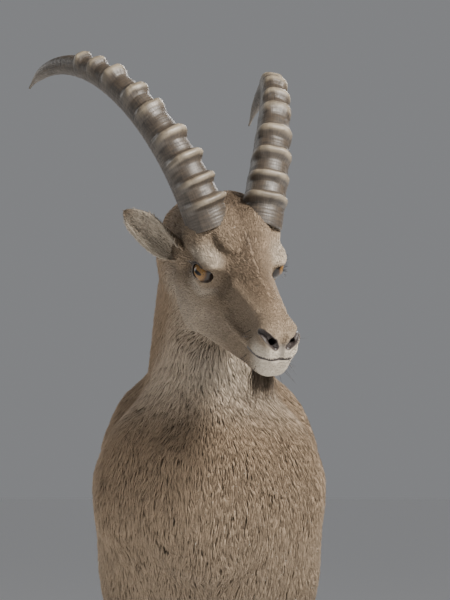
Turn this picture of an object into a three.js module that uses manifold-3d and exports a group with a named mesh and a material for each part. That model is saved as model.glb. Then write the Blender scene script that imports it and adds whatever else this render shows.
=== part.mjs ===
// A life-size male alpine ibex, standing with its head turned to its left.
// Millimetres, +X forward, +Y to the animal's left, +Z up. The origin is on the
// floor, under the middle of the animal's bounding box.
import * as THREE from "three";
import { mergeVertices } from "three/addons/utils/BufferGeometryUtils.js";
import Module from "manifold-3d";

const wasm = await Module();
wasm.setup();

// Driving sizes
const gap = 0.3; // between two nodes that touch
const withersHeight = 905;
const neckBase = [225, 745]; // x and z of the neck's axis where it leaves the chest
const neckLength = 315;
const neckRise = 83; // degrees above the horizontal at the foot of the neck
const neckBend = 38; // degrees by which the neck arches forward on its way up
const headOrigin = [392, 6, 1012];
const headTurn = 22.9; // degrees, to the animal's left
const headPitch = 29.8; // degrees, nose below the horizontal
const headTilt = 4.7; // degrees, the left side of the head is the higher one
const noseReach = 260; // from the head's origin to the tip of the nose
const eyeRadius = 17.5;
const eyeCentre = [88, 50, 31]; // in the head's own frame
const lidThickness = 3.8;
const hornFoot = [73, 36, 108.5]; // front of the horn's foot, in the head's own frame
const hornDepth = 75; // fore and aft at the foot
const hornWidth = 63;
const hornKnobs = [0.069, 0.127, 0.192, 0.262, 0.358, 0.422, 0.518, 0.592, 0.658]; // parts of its length
const knobHeight = 12;
// Each horn leans back and out by some degrees, bends by a total, and turns outward
const rightHorn = { side: -1, back: 27.7, out: 17.4, bend: 115, turn: 9.1, length: 504, ease: 0.18 };
const leftHorn = { side: 1, back: 29.8, out: 15.7, bend: 119.2, turn: 15.5, length: 500, ease: -0.04 };
const earFoot = [20, 60, 28];
const rightEar = { side: -1, way: [-0.31, 0.82, 0.48], facing: [0.86, 0.42, -0.12] };
const leftEar = { side: 1, way: [-0.72, 0.6, 0.36], facing: [0.5, 0.8, -0.1] }; // laid back
const earLength = 102;
const earWidth = 38;
const earThickness = 4;
const beardLength = 52;
const footRise = 45; // height of the hair line above the toe

const rad = THREE.MathUtils.degToRad;
const { lerp, clamp, smoothstep } = THREE.MathUtils;

// The head's own frame: x runs to the nose, y to its left, z to the crown
const headFrame = new THREE.Matrix4()
  .makeRotationZ(rad(headTurn))
  .multiply(new THREE.Matrix4().makeRotationX(rad(headTilt)))
  .multiply(new THREE.Matrix4().makeRotationY(rad(headPitch)))
  .setPosition(...headOrigin);

// Forms: functions of a point that are negative inside and grow like a distance outside

// An egg with its own radii, pitched about the left-right axis by some degrees
function egg([cx, cy, cz], [rx, ry, rz], pitch = 0) {
  const c = Math.cos(rad(pitch));
  const s = Math.sin(rad(pitch));
  return (x, y, z) => {
    const dx = x - cx;
    const dz = z - cz;
    const u = (dx * c - dz * s) / rx;
    const v = (y - cy) / ry;
    const w = (dx * s + dz * c) / rz;
    const r = Math.sqrt(u * u + v * v + w * w);
    const slope = Math.sqrt(
      (u / rx) ** 2 + (v / ry) ** 2 + (w / rz) ** 2,
    );
    return slope > 1e-9 ? (r * (r - 1)) / slope : -Math.min(rx, ry, rz);
  };
}

// A limb from a to b whose radius runs from ra to rb, thinner from side to side by flat
function limb(a, b, ra, rb, flat = 1) {
  const d = [b[0] - a[0], (b[1] - a[1]) / flat, b[2] - a[2]];
  const dd = d[0] ** 2 + d[1] ** 2 + d[2] ** 2;
  return (x, y, z) => {
    const px = x - a[0];
    const py = (y - a[1]) / flat;
    const pz = z - a[2];
    const t = clamp((px * d[0] + py * d[1] + pz * d[2]) / dd, 0, 1);
    const far = Math.hypot(px - d[0] * t, py - d[1] * t, pz - d[2] * t);
    return (far - lerp(ra, rb, t)) * (flat < 1 ? (1 + flat) / 2 : 1);
  };
}

// A value that runs smoothly through a column of a table of stations
function along(stations, column) {
  const at = stations.map((row) => row[0]);
  const value = stations.map((row) => row[column]);
  return (x) => {
    if (x <= at[0]) return value[0];
    const last = at.length - 1;
    if (x >= at[last]) return value[last];
    let i = 0;
    while (x > at[i + 1]) i++;
    const slope = (k) =>
      k <= 0 || k >= last
        ? 0
        : (value[k + 1] - value[k - 1]) / (at[k + 1] - at[k - 1]);
    const h = at[i + 1] - at[i];
    const t = (x - at[i]) / h;
    const t2 = t * t;
    const t3 = t2 * t;
    return (
      (2 * t3 - 3 * t2 + 1) * value[i] +
      (t3 - 2 * t2 + t) * h * slope(i) +
      (3 * t2 - 2 * t3) * value[i + 1] +
      (t3 - t2) * h * slope(i + 1)
    );
  };
}

// A body swept along x. Each station is x, top, bottom, half width, taper and squareness:
// a positive taper makes it wider below than above
function sweep(stations) {
  const [top, bottom, wide, taper, square] = [1, 2, 3, 4, 5].map((column) =>
    along(stations, column),
  );
  const first = stations[0][0];
  const last = stations[stations.length - 1][0];
  return (x, y, z) => {
    const u = clamp(x, first, last);
    const end = Math.max(first - x, x - last);
    const high = (top(u) - bottom(u)) / 2;
    const dz = z - (top(u) + bottom(u)) / 2;
    const v = dz / high;
    const w = wide(u) * (1 - taper(u) * clamp(v, -1.2, 1.2));
    const n = square(u);
    const r = (Math.abs(y / w) ** n + Math.abs(v) ** n) ** (1 / n);
    const q = Math.hypot(y, dz);
    const side = r > 1e-6 ? q - q / r : -Math.min(w, high);
    return end > 0 ? Math.hypot(Math.max(side, 0), end) : Math.max(side, end);
  };
}

// Joins forms with a fillet of about this radius
function blend(fillet, ...forms) {
  return (x, y, z) => {
    let d = forms[0](x, y, z);
    for (let i = 1; i < forms.length; i++) {
      const e = forms[i](x, y, z);
      const h = Math.max(fillet - Math.abs(d - e), 0) / fillet;
      d = Math.min(d, e) - (h * h * fillet) / 4;
    }
    return d;
  };
}

// Presses one form into another, with a softened edge
function dent(form, fillet, tool) {
  return (x, y, z) => {
    const d = form(x, y, z);
    const e = -tool(x, y, z);
    const h = Math.max(fillet - Math.abs(d - e), 0) / fillet;
    return Math.max(d, e) + (h * h * fillet) / 4;
  };
}

const bothSides = (form) => (x, y, z) => form(x, Math.abs(y), z);

// A form that is given in a local frame, used in the frame of the whole animal
function placed(frame, form) {
  const m = frame.clone().invert().elements;
  return (x, y, z) =>
    form(
      m[0] * x + m[4] * y + m[8] * z + m[12],
      m[1] * x + m[5] * y + m[9] * z + m[13],
      m[2] * x + m[6] * y + m[10] * z + m[14],
    );
}

// A form given along a straight axis, used along the neck's arc
function arched(form) {
  const radius = neckLength / rad(neckBend);
  const start = rad(neckRise + 90);
  const cx = neckBase[0] - radius * Math.cos(start);
  const cz = neckBase[1] - radius * Math.sin(start);
  return (x, y, z) => {
    const dx = x - cx;
    const dz = z - cz;
    const turn = start - Math.atan2(dz, dx);
    const run = Math.atan2(Math.sin(turn), Math.cos(turn)) * radius;
    return form(run, y, Math.hypot(dx, dz) - radius);
  };
}

// Trunk: x, top, bottom, half width, taper, squareness
const trunk = sweep([
  [-525, 815, 715, 58, 0.0, 2.0],
  [-492, 852, 650, 100, 0.0, 2.0],
  [-430, 880, 585, 128, -0.02, 2.1],
  [-350, 892, 535, 138, 0.0, 2.2],
  [-250, 882, 490, 148, 0.03, 2.2],
  [-120, 868, 456, 160, 0.05, 2.1],
  [10, 872, 440, 164, 0.1, 2.1],
  [100, withersHeight - 10, 432, 152, 0.22, 2.0],
  [165, withersHeight - 8, 436, 146, 0.26, 2.0],
  [245, 860, 456, 138, 0.24, 2.0],
  [320, 790, 500, 118, 0.06, 2.1],
  [372, 735, 560, 84, 0.0, 2.0],
]);

// Neck: run along its arc, nape, throat, half width, taper, squareness
const neck = arched(
  sweep([
    [-90, 120, -165, 104, 0.0, 2.0],
    [0, 140, -178, 114, 0.02, 2.0],
    [80, 132, -140, 99, 0.08, 2.0],
    [160, 122, -98, 88, 0.08, 2.0],
    [240, 110, -64, 78, 0.04, 2.0],
    [300, 94, -46, 69, 0.02, 2.1],
    [335, 84, -40, 64, 0.0, 2.1],
    [375, 76, -36, 58, 0.0, 2.1],
  ]),
);

// Shoulder, upper arm and thigh, on both sides
const shoulder = bothSides(
  blend(
    40,
    egg([172, 96, 718], [100, 66, 118], -20),
    egg([258, 100, 680], [88, 70, 118], 18),
    egg([190, 104, 570], [74, 54, 112], -16),
  ),
);
const thigh = bothSides(
  blend(
    40,
    egg([-400, 84, 705], [110, 62, 130], 10),
    egg([-350, 96, 620], [84, 54, 100], -22),
    egg([-438, 90, 620], [80, 50, 100], 10),
  ),
);
const brisket = egg([318, 0, 655], [100, 112, 125], 30);
const torso = blend(60, trunk, brisket, shoulder, thigh);
const body = blend(60, torso, neck);

// Head, in its own frame: x, top, bottom, half width, taper, squareness
const skull = sweep([
  [-50, 80, -74, 70, 0.0, 2.1],
  [0, 102, -80, 64, 0.0, 2.2],
  [45, 107, -82, 57, 0.0, 2.3],
  [80, 99, -78, 52, 0.02, 2.4],
  [112, 82, -73, 45, 0.08, 2.4],
  [145, 65, -68, 36, 0.12, 2.3],
  [185, 50, -62, 30, 0.12, 2.3],
  [222, 37, -60, 27, 0.02, 2.4],
  [246, 25, -52, 23, -0.04, 2.3],
  [noseReach - 5, 15, -34, 17, -0.04, 2.1],
]);
const headMasses = bothSides(
  blend(
    12,
    egg([4, 20, 62], [60, 48, 46]), // brain case
    limb([50, 22, 72], [48, 38, 70], 40, 36), // foot of the horn
    egg([80, 48, 52], [38, 20, 19], 12), // brow
    egg(eyeCentre, [21, 21, 20]), // lids
    limb([126, 38, -2], [30, 54, -10], 12, 16), // cheek bone
    egg([46, 42, -40], [44, 19, 40], 12), // chewing muscle
    limb([212, 13, -48], [52, 32, -64], 12, 18), // lower jaw
    egg([238, 12.5, 4], [22, 14.5, 17], 10), // nostril
    egg([230, 13, -16], [28, 18, 15], 6), // upper lip
    egg([224, 7, -46], [24, 16, 17], -6), // chin
  ),
);
const headHollows = bothSides(
  blend(
    10,
    egg([128, 60, 22], [26, 18, 20], 15), // in front of the eye
    egg([182, 50, 2], [40, 18, 15], 8), // beside the nose
  ),
);
const headOwn = dent(blend(20, skull, headMasses), 12, headHollows);

// Meshes

function toSolid(geometry) {
  const bare = geometry.clone();
  bare.deleteAttribute("normal");
  bare.deleteAttribute("uv");
  const merged = mergeVertices(bare, 1e-3);
  return new wasm.Manifold(
    new wasm.Mesh({
      numProp: 3,
      vertProperties: merged.attributes.position.array,
      triVerts: new Uint32Array(merged.index.array),
    }),
  );
}

// The largest closed surface of a solid, which drops loose scraps
function largest(solid) {
  const pieces = solid.decompose();
  return pieces.reduce((a, b) => (b.volume() > a.volume() ? b : a));
}

function toGeometry(solid) {
  const mesh = largest(solid).getMesh();
  const position = new Float32Array(mesh.numVert * 3);
  for (let i = 0; i < mesh.numVert; i++)
    for (let k = 0; k < 3; k++)
      position[i * 3 + k] = mesh.vertProperties[i * mesh.numProp + k];
  return new THREE.BufferGeometry()
    .setAttribute("position", new THREE.BufferAttribute(position, 3))
    .setIndex(new THREE.BufferAttribute(new Uint32Array(mesh.triVerts), 1));
}

// A closed mesh through rings of points, with a fan over each end
function skinOver(rings) {
  const around = rings[0].length;
  const points = rings.flat();
  const faces = [];
  const at = (i, j) => i * around + (j % around);
  for (let i = 0; i + 1 < rings.length; i++)
    for (let j = 0; j < around; j++) {
      const [a, b, c, d] = [at(i, j), at(i, j + 1), at(i + 1, j + 1), at(i + 1, j)];
      faces.push(a, b, c, a, c, d);
    }
  const lastRing = rings.length - 1;
  for (const i of [0, lastRing]) {
    const middle = new THREE.Vector3();
    for (const p of rings[i]) middle.add(p);
    points.push(middle.divideScalar(around));
    for (let j = 0; j < around; j++) {
      const pair = i === 0 ? [at(i, j + 1), at(i, j)] : [at(i, j), at(i, j + 1)];
      faces.push(...pair, points.length - 1);
    }
  }
  const position = new Float32Array(points.flatMap((p) => [p.x, p.y, p.z]));
  return new THREE.BufferGeometry()
    .setAttribute("position", new THREE.BufferAttribute(position, 3))
    .setIndex(faces);
}

// Six times the volume between a mesh and the origin, which is negative when it is inside out
function signedVolume(geometry) {
  const p = geometry.attributes.position;
  const [a, b, c] = [new THREE.Vector3(), new THREE.Vector3(), new THREE.Vector3()];
  let total = 0;
  for (let i = 0; i < geometry.index.count; i += 3) {
    a.fromBufferAttribute(p, geometry.index.getX(i));
    b.fromBufferAttribute(p, geometry.index.getX(i + 1));
    c.fromBufferAttribute(p, geometry.index.getX(i + 2));
    total += a.dot(b.cross(c));
  }
  return total;
}

function solidOver(rings) {
  const geometry = skinOver(rings);
  if (signedVolume(geometry) > 0) return toSolid(geometry);
  return toSolid(skinOver(rings.map((ring) => [...ring].reverse())));
}

// How far a ray from inside a form runs until the form reaches a level
function reach(form, from, way, level, most) {
  const value = (r) =>
    form(from.x + way.x * r, from.y + way.y * r, from.z + way.z * r) - level;
  const step = 4;
  let r = step;
  while (r < most && value(r) < 0) r += step;
  if (r >= most) return most;
  let low = r - step;
  let high = r;
  for (let i = 0; i < 12; i++) {
    const mid = (low + high) / 2;
    if (value(mid) < 0) low = mid;
    else high = mid;
  }
  return (low + high) / 2;
}

// Rings of points on a form. A rung has a middle, an up, a side and an ahead direction,
// and a lean: the degrees by which its rays lean ahead out of the rung's plane
function ringsOn(form, rungs, around, level = 0, most = 340) {
  return rungs.map(({ middle, up, side, ahead, lean = 0 }) =>
    Array.from({ length: around }, (_, j) => {
      const angle = (2 * Math.PI * j) / around;
      const way = up
        .clone()
        .multiplyScalar(Math.cos(angle))
        .addScaledVector(side, Math.sin(angle))
        .multiplyScalar(Math.cos(rad(lean)))
        .addScaledVector(ahead, Math.sin(rad(lean)));
      return middle
        .clone()
        .addScaledVector(way, reach(form, middle, way, level, most));
    }),
  );
}

function rungOn([top, bottom, side], lean = 0) {
  const up = top.clone().sub(bottom).normalize();
  const across = side.clone().addScaledVector(up, -side.dot(up)).normalize();
  return {
    middle: top.clone().lerp(bottom, 0.5),
    up,
    side: across,
    ahead: across.clone().cross(up),
    lean,
  };
}

// Rungs between guides, which are [top, bottom, side]. A count is the number of rungs from
// one guide to the next
function ladder(guides, counts) {
  const rungs = [];
  guides.forEach((guide, i) => {
    if (i === guides.length - 1) return rungs.push(rungOn(guide));
    for (let k = 0; k < counts[i]; k++)
      rungs.push(
        rungOn(guide.map((v, n) => v.clone().lerp(guides[i + 1][n], k / counts[i]))),
      );
  });
  return rungs;
}

// Moves a guide ahead, to leave part of the gap at a cut
function shifted([top, bottom, side], distance) {
  const { ahead } = rungOn([top, bottom, side]);
  return [
    top.clone().addScaledVector(ahead, distance),
    bottom.clone().addScaledVector(ahead, distance),
    side,
  ];
}

const left = new THREE.Vector3(0, 1, 0);
const bodyGuide = (topX, topZ, bottomX, bottomZ) => [
  new THREE.Vector3(topX, 0, topZ),
  new THREE.Vector3(bottomX, 0, bottomZ),
  left,
];
const headGuide = (topX, topZ, bottomX, bottomZ) => [
  new THREE.Vector3(topX, 0, topZ).applyMatrix4(headFrame),
  new THREE.Vector3(bottomX, 0, bottomZ).applyMatrix4(headFrame),
  left.clone().transformDirection(headFrame),
];

const parts = new Map();
const add = (name, solid, colour, roughness = 0.9) =>
  parts.set(name, { solid, colour, roughness });

const coatColour = 0x7d6a55;
const darkCoat = 0x4a3b30;
const hornColour = 0x6b6258;
const hoofColour = 0x2b2724;
const eyeColour = 0x9a6a2a;

// Guides from the rump to the nose
const rump = bodyGuide(-455, 880, -455, 590);
const loin = bodyGuide(-290, 890, -290, 500);
const girth = bodyGuide(60, 890, 60, 440);
const collar = bodyGuide(88, 925, 452, 668);
const napeLine = bodyGuide(180, 1010, 425, 800);
const arch = bodyGuide(262, 1100, 372, 880);
const poll = [...headGuide(-66, 104, 28, -94).slice(0, 2), left];
const hornLine = headGuide(52, 118, 56, -88);
const nasal = headGuide(112, 80, 112, -80);
const muzzle = headGuide(214, 40, 214, -64);

const rumpLeans = [-78, -62, -46, -30, -15];
const torsoRungs = [
  ...rumpLeans.map((lean) => rungOn(rump, lean)),
  ...ladder([rump, loin, girth, shifted(collar, -gap / 2)], [4, 9, 11]),
];
const neckRungs = ladder(
  [shifted(collar, gap / 2), napeLine, arch, shifted(poll, 2)],
  [4, 3, 3],
);
const muzzleLeans = [12, 24, 36, 48, 60, 72, 82];
const headRungs = [
  ...ladder([shifted(poll, -2), hornLine, nasal, muzzle], [6, 7, 10]),
  ...muzzleLeans.map((lean) => rungOn(muzzle, lean)),
];
// How far a point is ahead of the cut between the neck and the head
const pollAhead = (() => {
  const { middle, ahead } = rungOn(poll);
  const at = new THREE.Vector3();
  return (x, y, z) => at.set(x, y, z).sub(middle).dot(ahead);
})();
const upTo = (form, distance) => (x, y, z) =>
  Math.max(form(x, y, z), pollAhead(x, y, z) - distance);
const placedHead = placed(headFrame, headOwn);
const throatFloor = placed(headFrame, (x, y, z) => z + 94);
const headFlesh = dent(blend(40, upTo(body, 6), placedHead), 20, throatFloor);
const neckFlesh = blend(40, body, upTo(placedHead, 6));

const torsoAt = (level) => solidOver(ringsOn(body, torsoRungs, 32, level));
// The head at a level of its form, from a distance ahead of the cut at the poll
function headAt(level, cut = gap / 2) {
  const { middle, ahead } = rungOn(poll);
  const whole = solidOver(ringsOn(headFlesh, headRungs, 40, level));
  return whole.trimByPlane(ahead.toArray(), ahead.dot(middle) + cut);
}

// Horns

// The path of a horn's middle in the head's own frame, with its front and outer directions
function hornPath({ side, back, out, bend, turn, length, ease }) {
  const [a, f, t] = [rad(back), rad(out), rad(turn)];
  const rise = new THREE.Vector3(-Math.sin(a), 0, Math.cos(a));
  const fall = new THREE.Vector3(-Math.cos(a), 0, -Math.sin(a));
  const outward = new THREE.Vector3(0, side, 0);
  const start = rise
    .clone()
    .multiplyScalar(Math.cos(f))
    .addScaledVector(outward, Math.sin(f));
  const toward = fall
    .multiplyScalar(Math.cos(t))
    .addScaledVector(outward, Math.cos(f) * Math.sin(t))
    .addScaledVector(rise, -Math.sin(f) * Math.sin(t));
  const steps = 400;
  const place = new THREE.Vector3(...hornFoot)
    .multiply(new THREE.Vector3(1, side, 1))
    .addScaledVector(toward, hornDepth * 0.49)
    .addScaledVector(start, -14);
  const path = [];
  for (let i = 0; i <= steps; i++) {
    const u = i / steps;
    const angle = rad(bend) * (u + ease * (u * u - u));
    const along = start
      .clone()
      .multiplyScalar(Math.cos(angle))
      .addScaledVector(toward, Math.sin(angle));
    const front = start
      .clone()
      .multiplyScalar(Math.sin(angle))
      .addScaledVector(toward, -Math.cos(angle));
    path.push({ place: place.clone(), front, outer: along.clone().cross(front), u });
    place.addScaledVector(along, (length + 14) / steps);
  }
  return path;
}

// Part of the horn's length at a place among the knobs, where knob k has its crest at k
function amongKnobs(place) {
  const [first, second] = hornKnobs;
  const [before, last] = hornKnobs.slice(-2);
  const crests = [2 * first - second, ...hornKnobs, 2 * last - before];
  const k = clamp(Math.floor(place) + 1, 0, crests.length - 2);
  return lerp(crests[k], crests[k + 1], place + 1 - k);
}

function hornSolid(horn) {
  const path = hornPath(horn);
  const around = 12;
  const stations = [[0, 0]];
  for (const k of hornKnobs.keys())
    for (const [off, rise] of [[-0.36, 0], [-0.1, 1], [0.08, 1], [0.32, 0]])
      stations.push([amongKnobs(k + off), rise * knobHeight * lerp(1, 0.45, hornKnobs[k])]);
  for (const u of [0.76, 0.85, 0.92, 0.965, 0.99, 1]) stations.push([u, 0]);
  const rings = stations.map(([u, high]) => {
    const { place, front, outer } = path[Math.round(u * (path.length - 1))];
    const tip = 1 - 0.6 * smoothstep(u, 0.9, 1);
    const deep = (hornDepth / 2) * lerp(1, 0.12, u ** 1.2) * tip;
    const wide = (hornWidth / 2) * lerp(1, 0.12, u ** 1.02) * tip;
    return Array.from({ length: around }, (_, j) => {
      const angle = (2 * Math.PI * (j + 0.5)) / around;
      const c = Math.cos(angle);
      const s = Math.sin(angle);
      // squared front, narrow back
      const x = Math.sign(c) * Math.abs(c) ** 0.8 * deep;
      const y = s * wide * (c > 0 ? 1 : 1 + 0.38 * c);
      const swell = high * smoothstep(c, -0.35, 0.5);
      return place
        .clone()
        .addScaledVector(front, x + swell * clamp(c * 1.4, 0.25, 1))
        .addScaledVector(outer, y + Math.sign(s) * swell * 0.4)
        .applyMatrix4(headFrame);
    });
  });
  return solidOver(rings);
}

// Ears

function earSolid({ side, way, facing: open }) {
  const along = new THREE.Vector3(way[0], side * way[1], way[2]).normalize();
  const facing = new THREE.Vector3(open[0], side * open[1], open[2]);
  facing.addScaledVector(along, -facing.dot(along)).normalize();
  const across = along.clone().cross(facing);
  const foot = new THREE.Vector3(earFoot[0], side * earFoot[1], earFoot[2]);
  const stations = [-0.12, 0.0, 0.12, 0.25, 0.4, 0.55, 0.7, 0.84, 0.94, 1];
  const half = 6;
  const rings = stations.map((u) => {
    const t = clamp(u, 0, 1);
    const wide = (earWidth / 2) * (0.52 + 1.25 * t ** 0.7) * (1 - t ** 2.6) ** 0.75 + 1.2;
    const wrap = lerp(245, 105, smoothstep(t, 0, 0.75)); // degrees of the cup's curl
    const radius = wide / Math.sin(Math.min(rad(wrap / 2), Math.PI / 2));
    const thick = Math.min(earThickness, wide * 0.7) * (t > 0.9 ? 0.6 : 1);
    const centre = foot
      .clone()
      .addScaledVector(along, u * earLength)
      .addScaledVector(facing, radius * 0.55 - 10 * t * t);
    const arc = (r, k) => {
      const angle = rad(wrap) * (k / half - 0.5);
      return centre
        .clone()
        .addScaledVector(facing, -Math.cos(angle) * r)
        .addScaledVector(across, Math.sin(angle) * r)
        .applyMatrix4(headFrame);
    };
    const outside = Array.from({ length: half + 1 }, (_, k) => arc(radius, k));
    const inside = Array.from({ length: half + 1 }, (_, k) =>
      arc(radius - thick, half - k),
    );
    return [...outside, ...inside];
  });
  return solidOver(rings);
}

// Eyes, lids, nostrils and mouth

const ball = (radius, wide, high) =>
  toSolid(new THREE.SphereGeometry(radius, wide, high));
const inHead = (x, y, z) => new THREE.Vector3(x, y, z).applyMatrix4(headFrame);

// Sets a solid down in the head with its own z along a direction and x near another
function setInHead(solid, at, way, near) {
  const z = new THREE.Vector3(...way).normalize();
  const x = new THREE.Vector3(...near);
  x.addScaledVector(z, -x.dot(z)).normalize();
  const m = headFrame
    .clone()
    .multiply(
      new THREE.Matrix4().makeBasis(x, z.clone().cross(x), z).setPosition(...at),
    );
  return solid.transform(m.elements);
}

function eyeSolid(side) {
  const at = [eyeCentre[0], side * eyeCentre[1], eyeCentre[2]];
  return setInHead(ball(eyeRadius, 16, 10), at, [0.3, side, 0.1], [1, 0, 0]);
}

// The almond between the lids, cut along the way the eye looks
function lidOpening(side) {
  const at = [eyeCentre[0], side * eyeCentre[1], eyeCentre[2]];
  const almond = new THREE.Shape();
  almond.moveTo(-15.5, 2);
  almond.quadraticCurveTo(-7, 12, 3, 11);
  almond.quadraticCurveTo(12, 8, 18, -5.5);
  almond.quadraticCurveTo(7, -9.5, -2, -8.5);
  almond.quadraticCurveTo(-11, -6, -15.5, 2);
  if (side > 0) almond.curves = almond.curves.map(mirrored);
  const block = new THREE.ExtrudeGeometry(almond, {
    depth: 40,
    bevelEnabled: false,
    curveSegments: 3,
  });
  return setInHead(toSolid(block), at, [0.3, side, 0.12], [1, 0, -0.12]);
}

function mirrored(curve) {
  const flip = (v) => new THREE.Vector2(v.x, -v.y);
  return new THREE.QuadraticBezierCurve(flip(curve.v0), flip(curve.v1), flip(curve.v2));
}

// A bent slit that tapers to both ends
function nostrilSolid(side) {
  const path = new THREE.CatmullRomCurve3([
    new THREE.Vector3(231, side * 30, 6),
    new THREE.Vector3(243, side * 25, 13),
    new THREE.Vector3(254, side * 17, 8),
    new THREE.Vector3(260, side * 9, -3),
  ]);
  const rings = [0, 0.2, 0.4, 0.6, 0.8, 1].map((u) => {
    const middle = path.getPoint(u);
    const along = path.getTangent(u);
    const outward = new THREE.Vector3(1, side * 0.9, 0.4);
    outward.addScaledVector(along, -outward.dot(along)).normalize();
    const across = along.clone().cross(outward);
    const size = 0.35 + Math.sin(Math.PI * u) ** 0.8;
    return Array.from({ length: 8 }, (_, j) => {
      const angle = (2 * Math.PI * j) / 8;
      return middle
        .clone()
        .addScaledVector(outward, Math.cos(angle) * size * 6)
        .addScaledVector(across, Math.sin(angle) * size * 4)
        .applyMatrix4(headFrame);
    });
  });
  return solidOver(rings);
}

// The line between the lips: a bent plate that only cuts the skin of the muzzle
function mouthSolid() {
  const stations = [
    [180, -26],
    [192, -28],
    [206, -28],
    [226, -27],
    [270, -24],
  ];
  const rings = stations.map(([x, z], i) => {
    const high = i === 0 ? 0.5 : 1.5;
    return [
      [-60, high],
      [60, high],
      [60, -high],
      [-60, -high],
    ].map(([y, up]) => inHead(x, y, z + up));
  });
  return solidOver(rings).subtract(headAt(-5));
}

// Locks of hair

function noise(seed) {
  let state = seed;
  return () => {
    state = (state * 1664525 + 1013904223) % 4294967296;
    return state / 4294967296;
  };
}

// A flat tapered lock along a bent path, from a root in a direction that droops toward another
function lock({ root, way, droop, length, width, thick, face }) {
  const stations = [0, 0.25, 0.5, 0.75, 1];
  const place = root.clone();
  const rings = stations.map((u, i) => {
    const along = way.clone().lerp(droop, u).normalize();
    if (i > 0) place.addScaledVector(along, length * 0.25);
    const across = along.clone().cross(face).normalize();
    const flat = across.clone().cross(along).normalize();
    const w = (width / 2) * (1 - u) ** 0.75 * (0.8 + 0.7 * u) + 0.5;
    const t = (thick / 2) * (1 - u) ** 0.8 + 0.4;
    return [
      [1, 0],
      [0, 1],
      [-1, 0],
      [0, -1],
    ].map(([a, b]) =>
      place.clone().addScaledVector(across, a * w).addScaledVector(flat, b * t),
    );
  });
  return solidOver(rings);
}

const joined = (solids) => solids.reduce((a, b) => a.add(b));

// Egg-shaped solid in the frame of the animal or of its head
function blob([x, y, z], [rx, ry, rz], frame = new THREE.Matrix4(), wide = 12, high = 8) {
  const shape = new THREE.SphereGeometry(1, wide, high);
  shape.scale(rx, ry, rz);
  shape.translate(x, y, z);
  shape.applyMatrix4(frame);
  return toSolid(shape);
}

// Legs: paths from the body to the hair line above the hoof. A point is x, y, z, radius
const foreLeg = [
  [182, 90, 560, 74],
  [178, 91, 500, 56],
  [182, 89, 410, 38],
  [194, 86, 325, 27],
  [199, 85, 286, 29],
  [198, 85, 245, 22],
  [194, 84, 180, 21],
  [191, 84, 132, 21],
  [190, 84, 108, 25],
  [200, 84, 80, 22],
  [211, 84, footRise + 4, 25],
];
const hindLeg = [
  [-398, 92, 610, 104],
  [-402, 94, 545, 96],
  [-420, 93, 485, 74],
  [-452, 90, 430, 50],
  [-484, 86, 385, 37],
  [-508, 84, 338, 34],
  [-510, 83, 290, 27],
  [-500, 83, 215, 22],
  [-487, 83, 140, 22],
  [-480, 83, 112, 26],
  [-470, 83, 82, 22],
  [-457, 83, footRise + 4, 25],
];
const feet = [
  { name: "fore_right", path: foreLeg, side: -1, step: 26 },
  { name: "fore_left", path: foreLeg, side: 1, step: -22 },
  { name: "hind_right", path: hindLeg, side: -1, step: -38 },
  { name: "hind_left", path: hindLeg, side: 1, step: 34 },
];

// The steps are taken up by the whole leg, less and less toward its top
function legPoints({ path, side, step }) {
  const high = path[0][2];
  return path.map(([x, y, z, r]) => ({
    at: new THREE.Vector3(x + step * (1 - z / high), side * y, z),
    r,
  }));
}

function legForm(foot) {
  const points = legPoints(foot);
  const [tendon, flat] = foot.path === hindLeg ? [34, 0.62] : [0, 0.8];
  const pieces = [];
  for (let i = 0; i + 1 < points.length; i++) {
    const [a, b] = [points[i], points[i + 1]];
    const thin = a.at.z > 150 ? flat : 1;
    pieces.push(limb(a.at.toArray(), b.at.toArray(), a.r, b.r, thin));
  }
  if (tendon) {
    const heel = points[4].at.clone().lerp(points[5].at, 0.6);
    heel.x -= 18;
    const calf = points[3].at.clone();
    calf.x -= 14;
    pieces.push(limb(calf.toArray(), heel.toArray(), 26, 21, 0.7));
  }
  return blend(12, ...pieces);
}

function legRings(foot) {
  const curve = new THREE.CatmullRomCurve3(legPoints(foot).map(({ at }) => at));
  const form = legForm(foot);
  const count = 20;
  const rungs = Array.from({ length: count + 1 }, (_, i) => {
    const u = i / count;
    const along = curve.getPoint(u);
    const way = curve.getTangent(u);
    const tilt = new THREE.Vector3(0.3, 0, -1).normalize();
    way.lerp(tilt, smoothstep(u, 0.85, 1)).normalize();
    const side = left.clone();
    return { middle: along, up: way.clone().cross(side).normalize(), side, ahead: way };
  });
  return ringsOn(form, rungs, 14);
}

// One claw of a hoof. The inner side faces the other claw
function clawSolid(x, y, side) {
  const stations = [
    [0, -37, 38, 27],
    [0.16, -38, 37.5, 28.5],
    [0.55, -36, 26, 27.5],
    [1, -32, 12, 25],
  ];
  const outline = [0, 20, 45, 75, 105, 135, 160, 180];
  const rings = stations.map(([t, heel, toe, wide]) => {
    const middle = (heel + toe) / 2;
    const half = (toe - heel) / 2;
    const points = outline.map((degrees) => {
      const c = Math.cos(rad(degrees));
      const s = Math.sin(rad(degrees)) ** 0.72;
      return [middle + half * c, 1.6 + wide * s * (1 - 0.22 * Math.max(c, 0) ** 2)];
    });
    points.push([middle - half * 0.4, 1.4], [middle + half * 0.4, 1.4]);
    return points.map(([px, py]) => {
      const high = footRise - 3 + 0.3 * (px - 12);
      return new THREE.Vector3(x + px, y + side * py, t * high);
    });
  });
  return solidOver(rings);
}

// Build

add("torso", torsoAt(0), coatColour);
const wholeNeck = solidOver(ringsOn(neckFlesh, neckRungs, 32));
add("neck", wholeNeck.subtract(headAt(gap, -gap / 2)), coatColour);
const roomForNeck = solidOver(ringsOn(neckFlesh, neckRungs, 32, gap));

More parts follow.
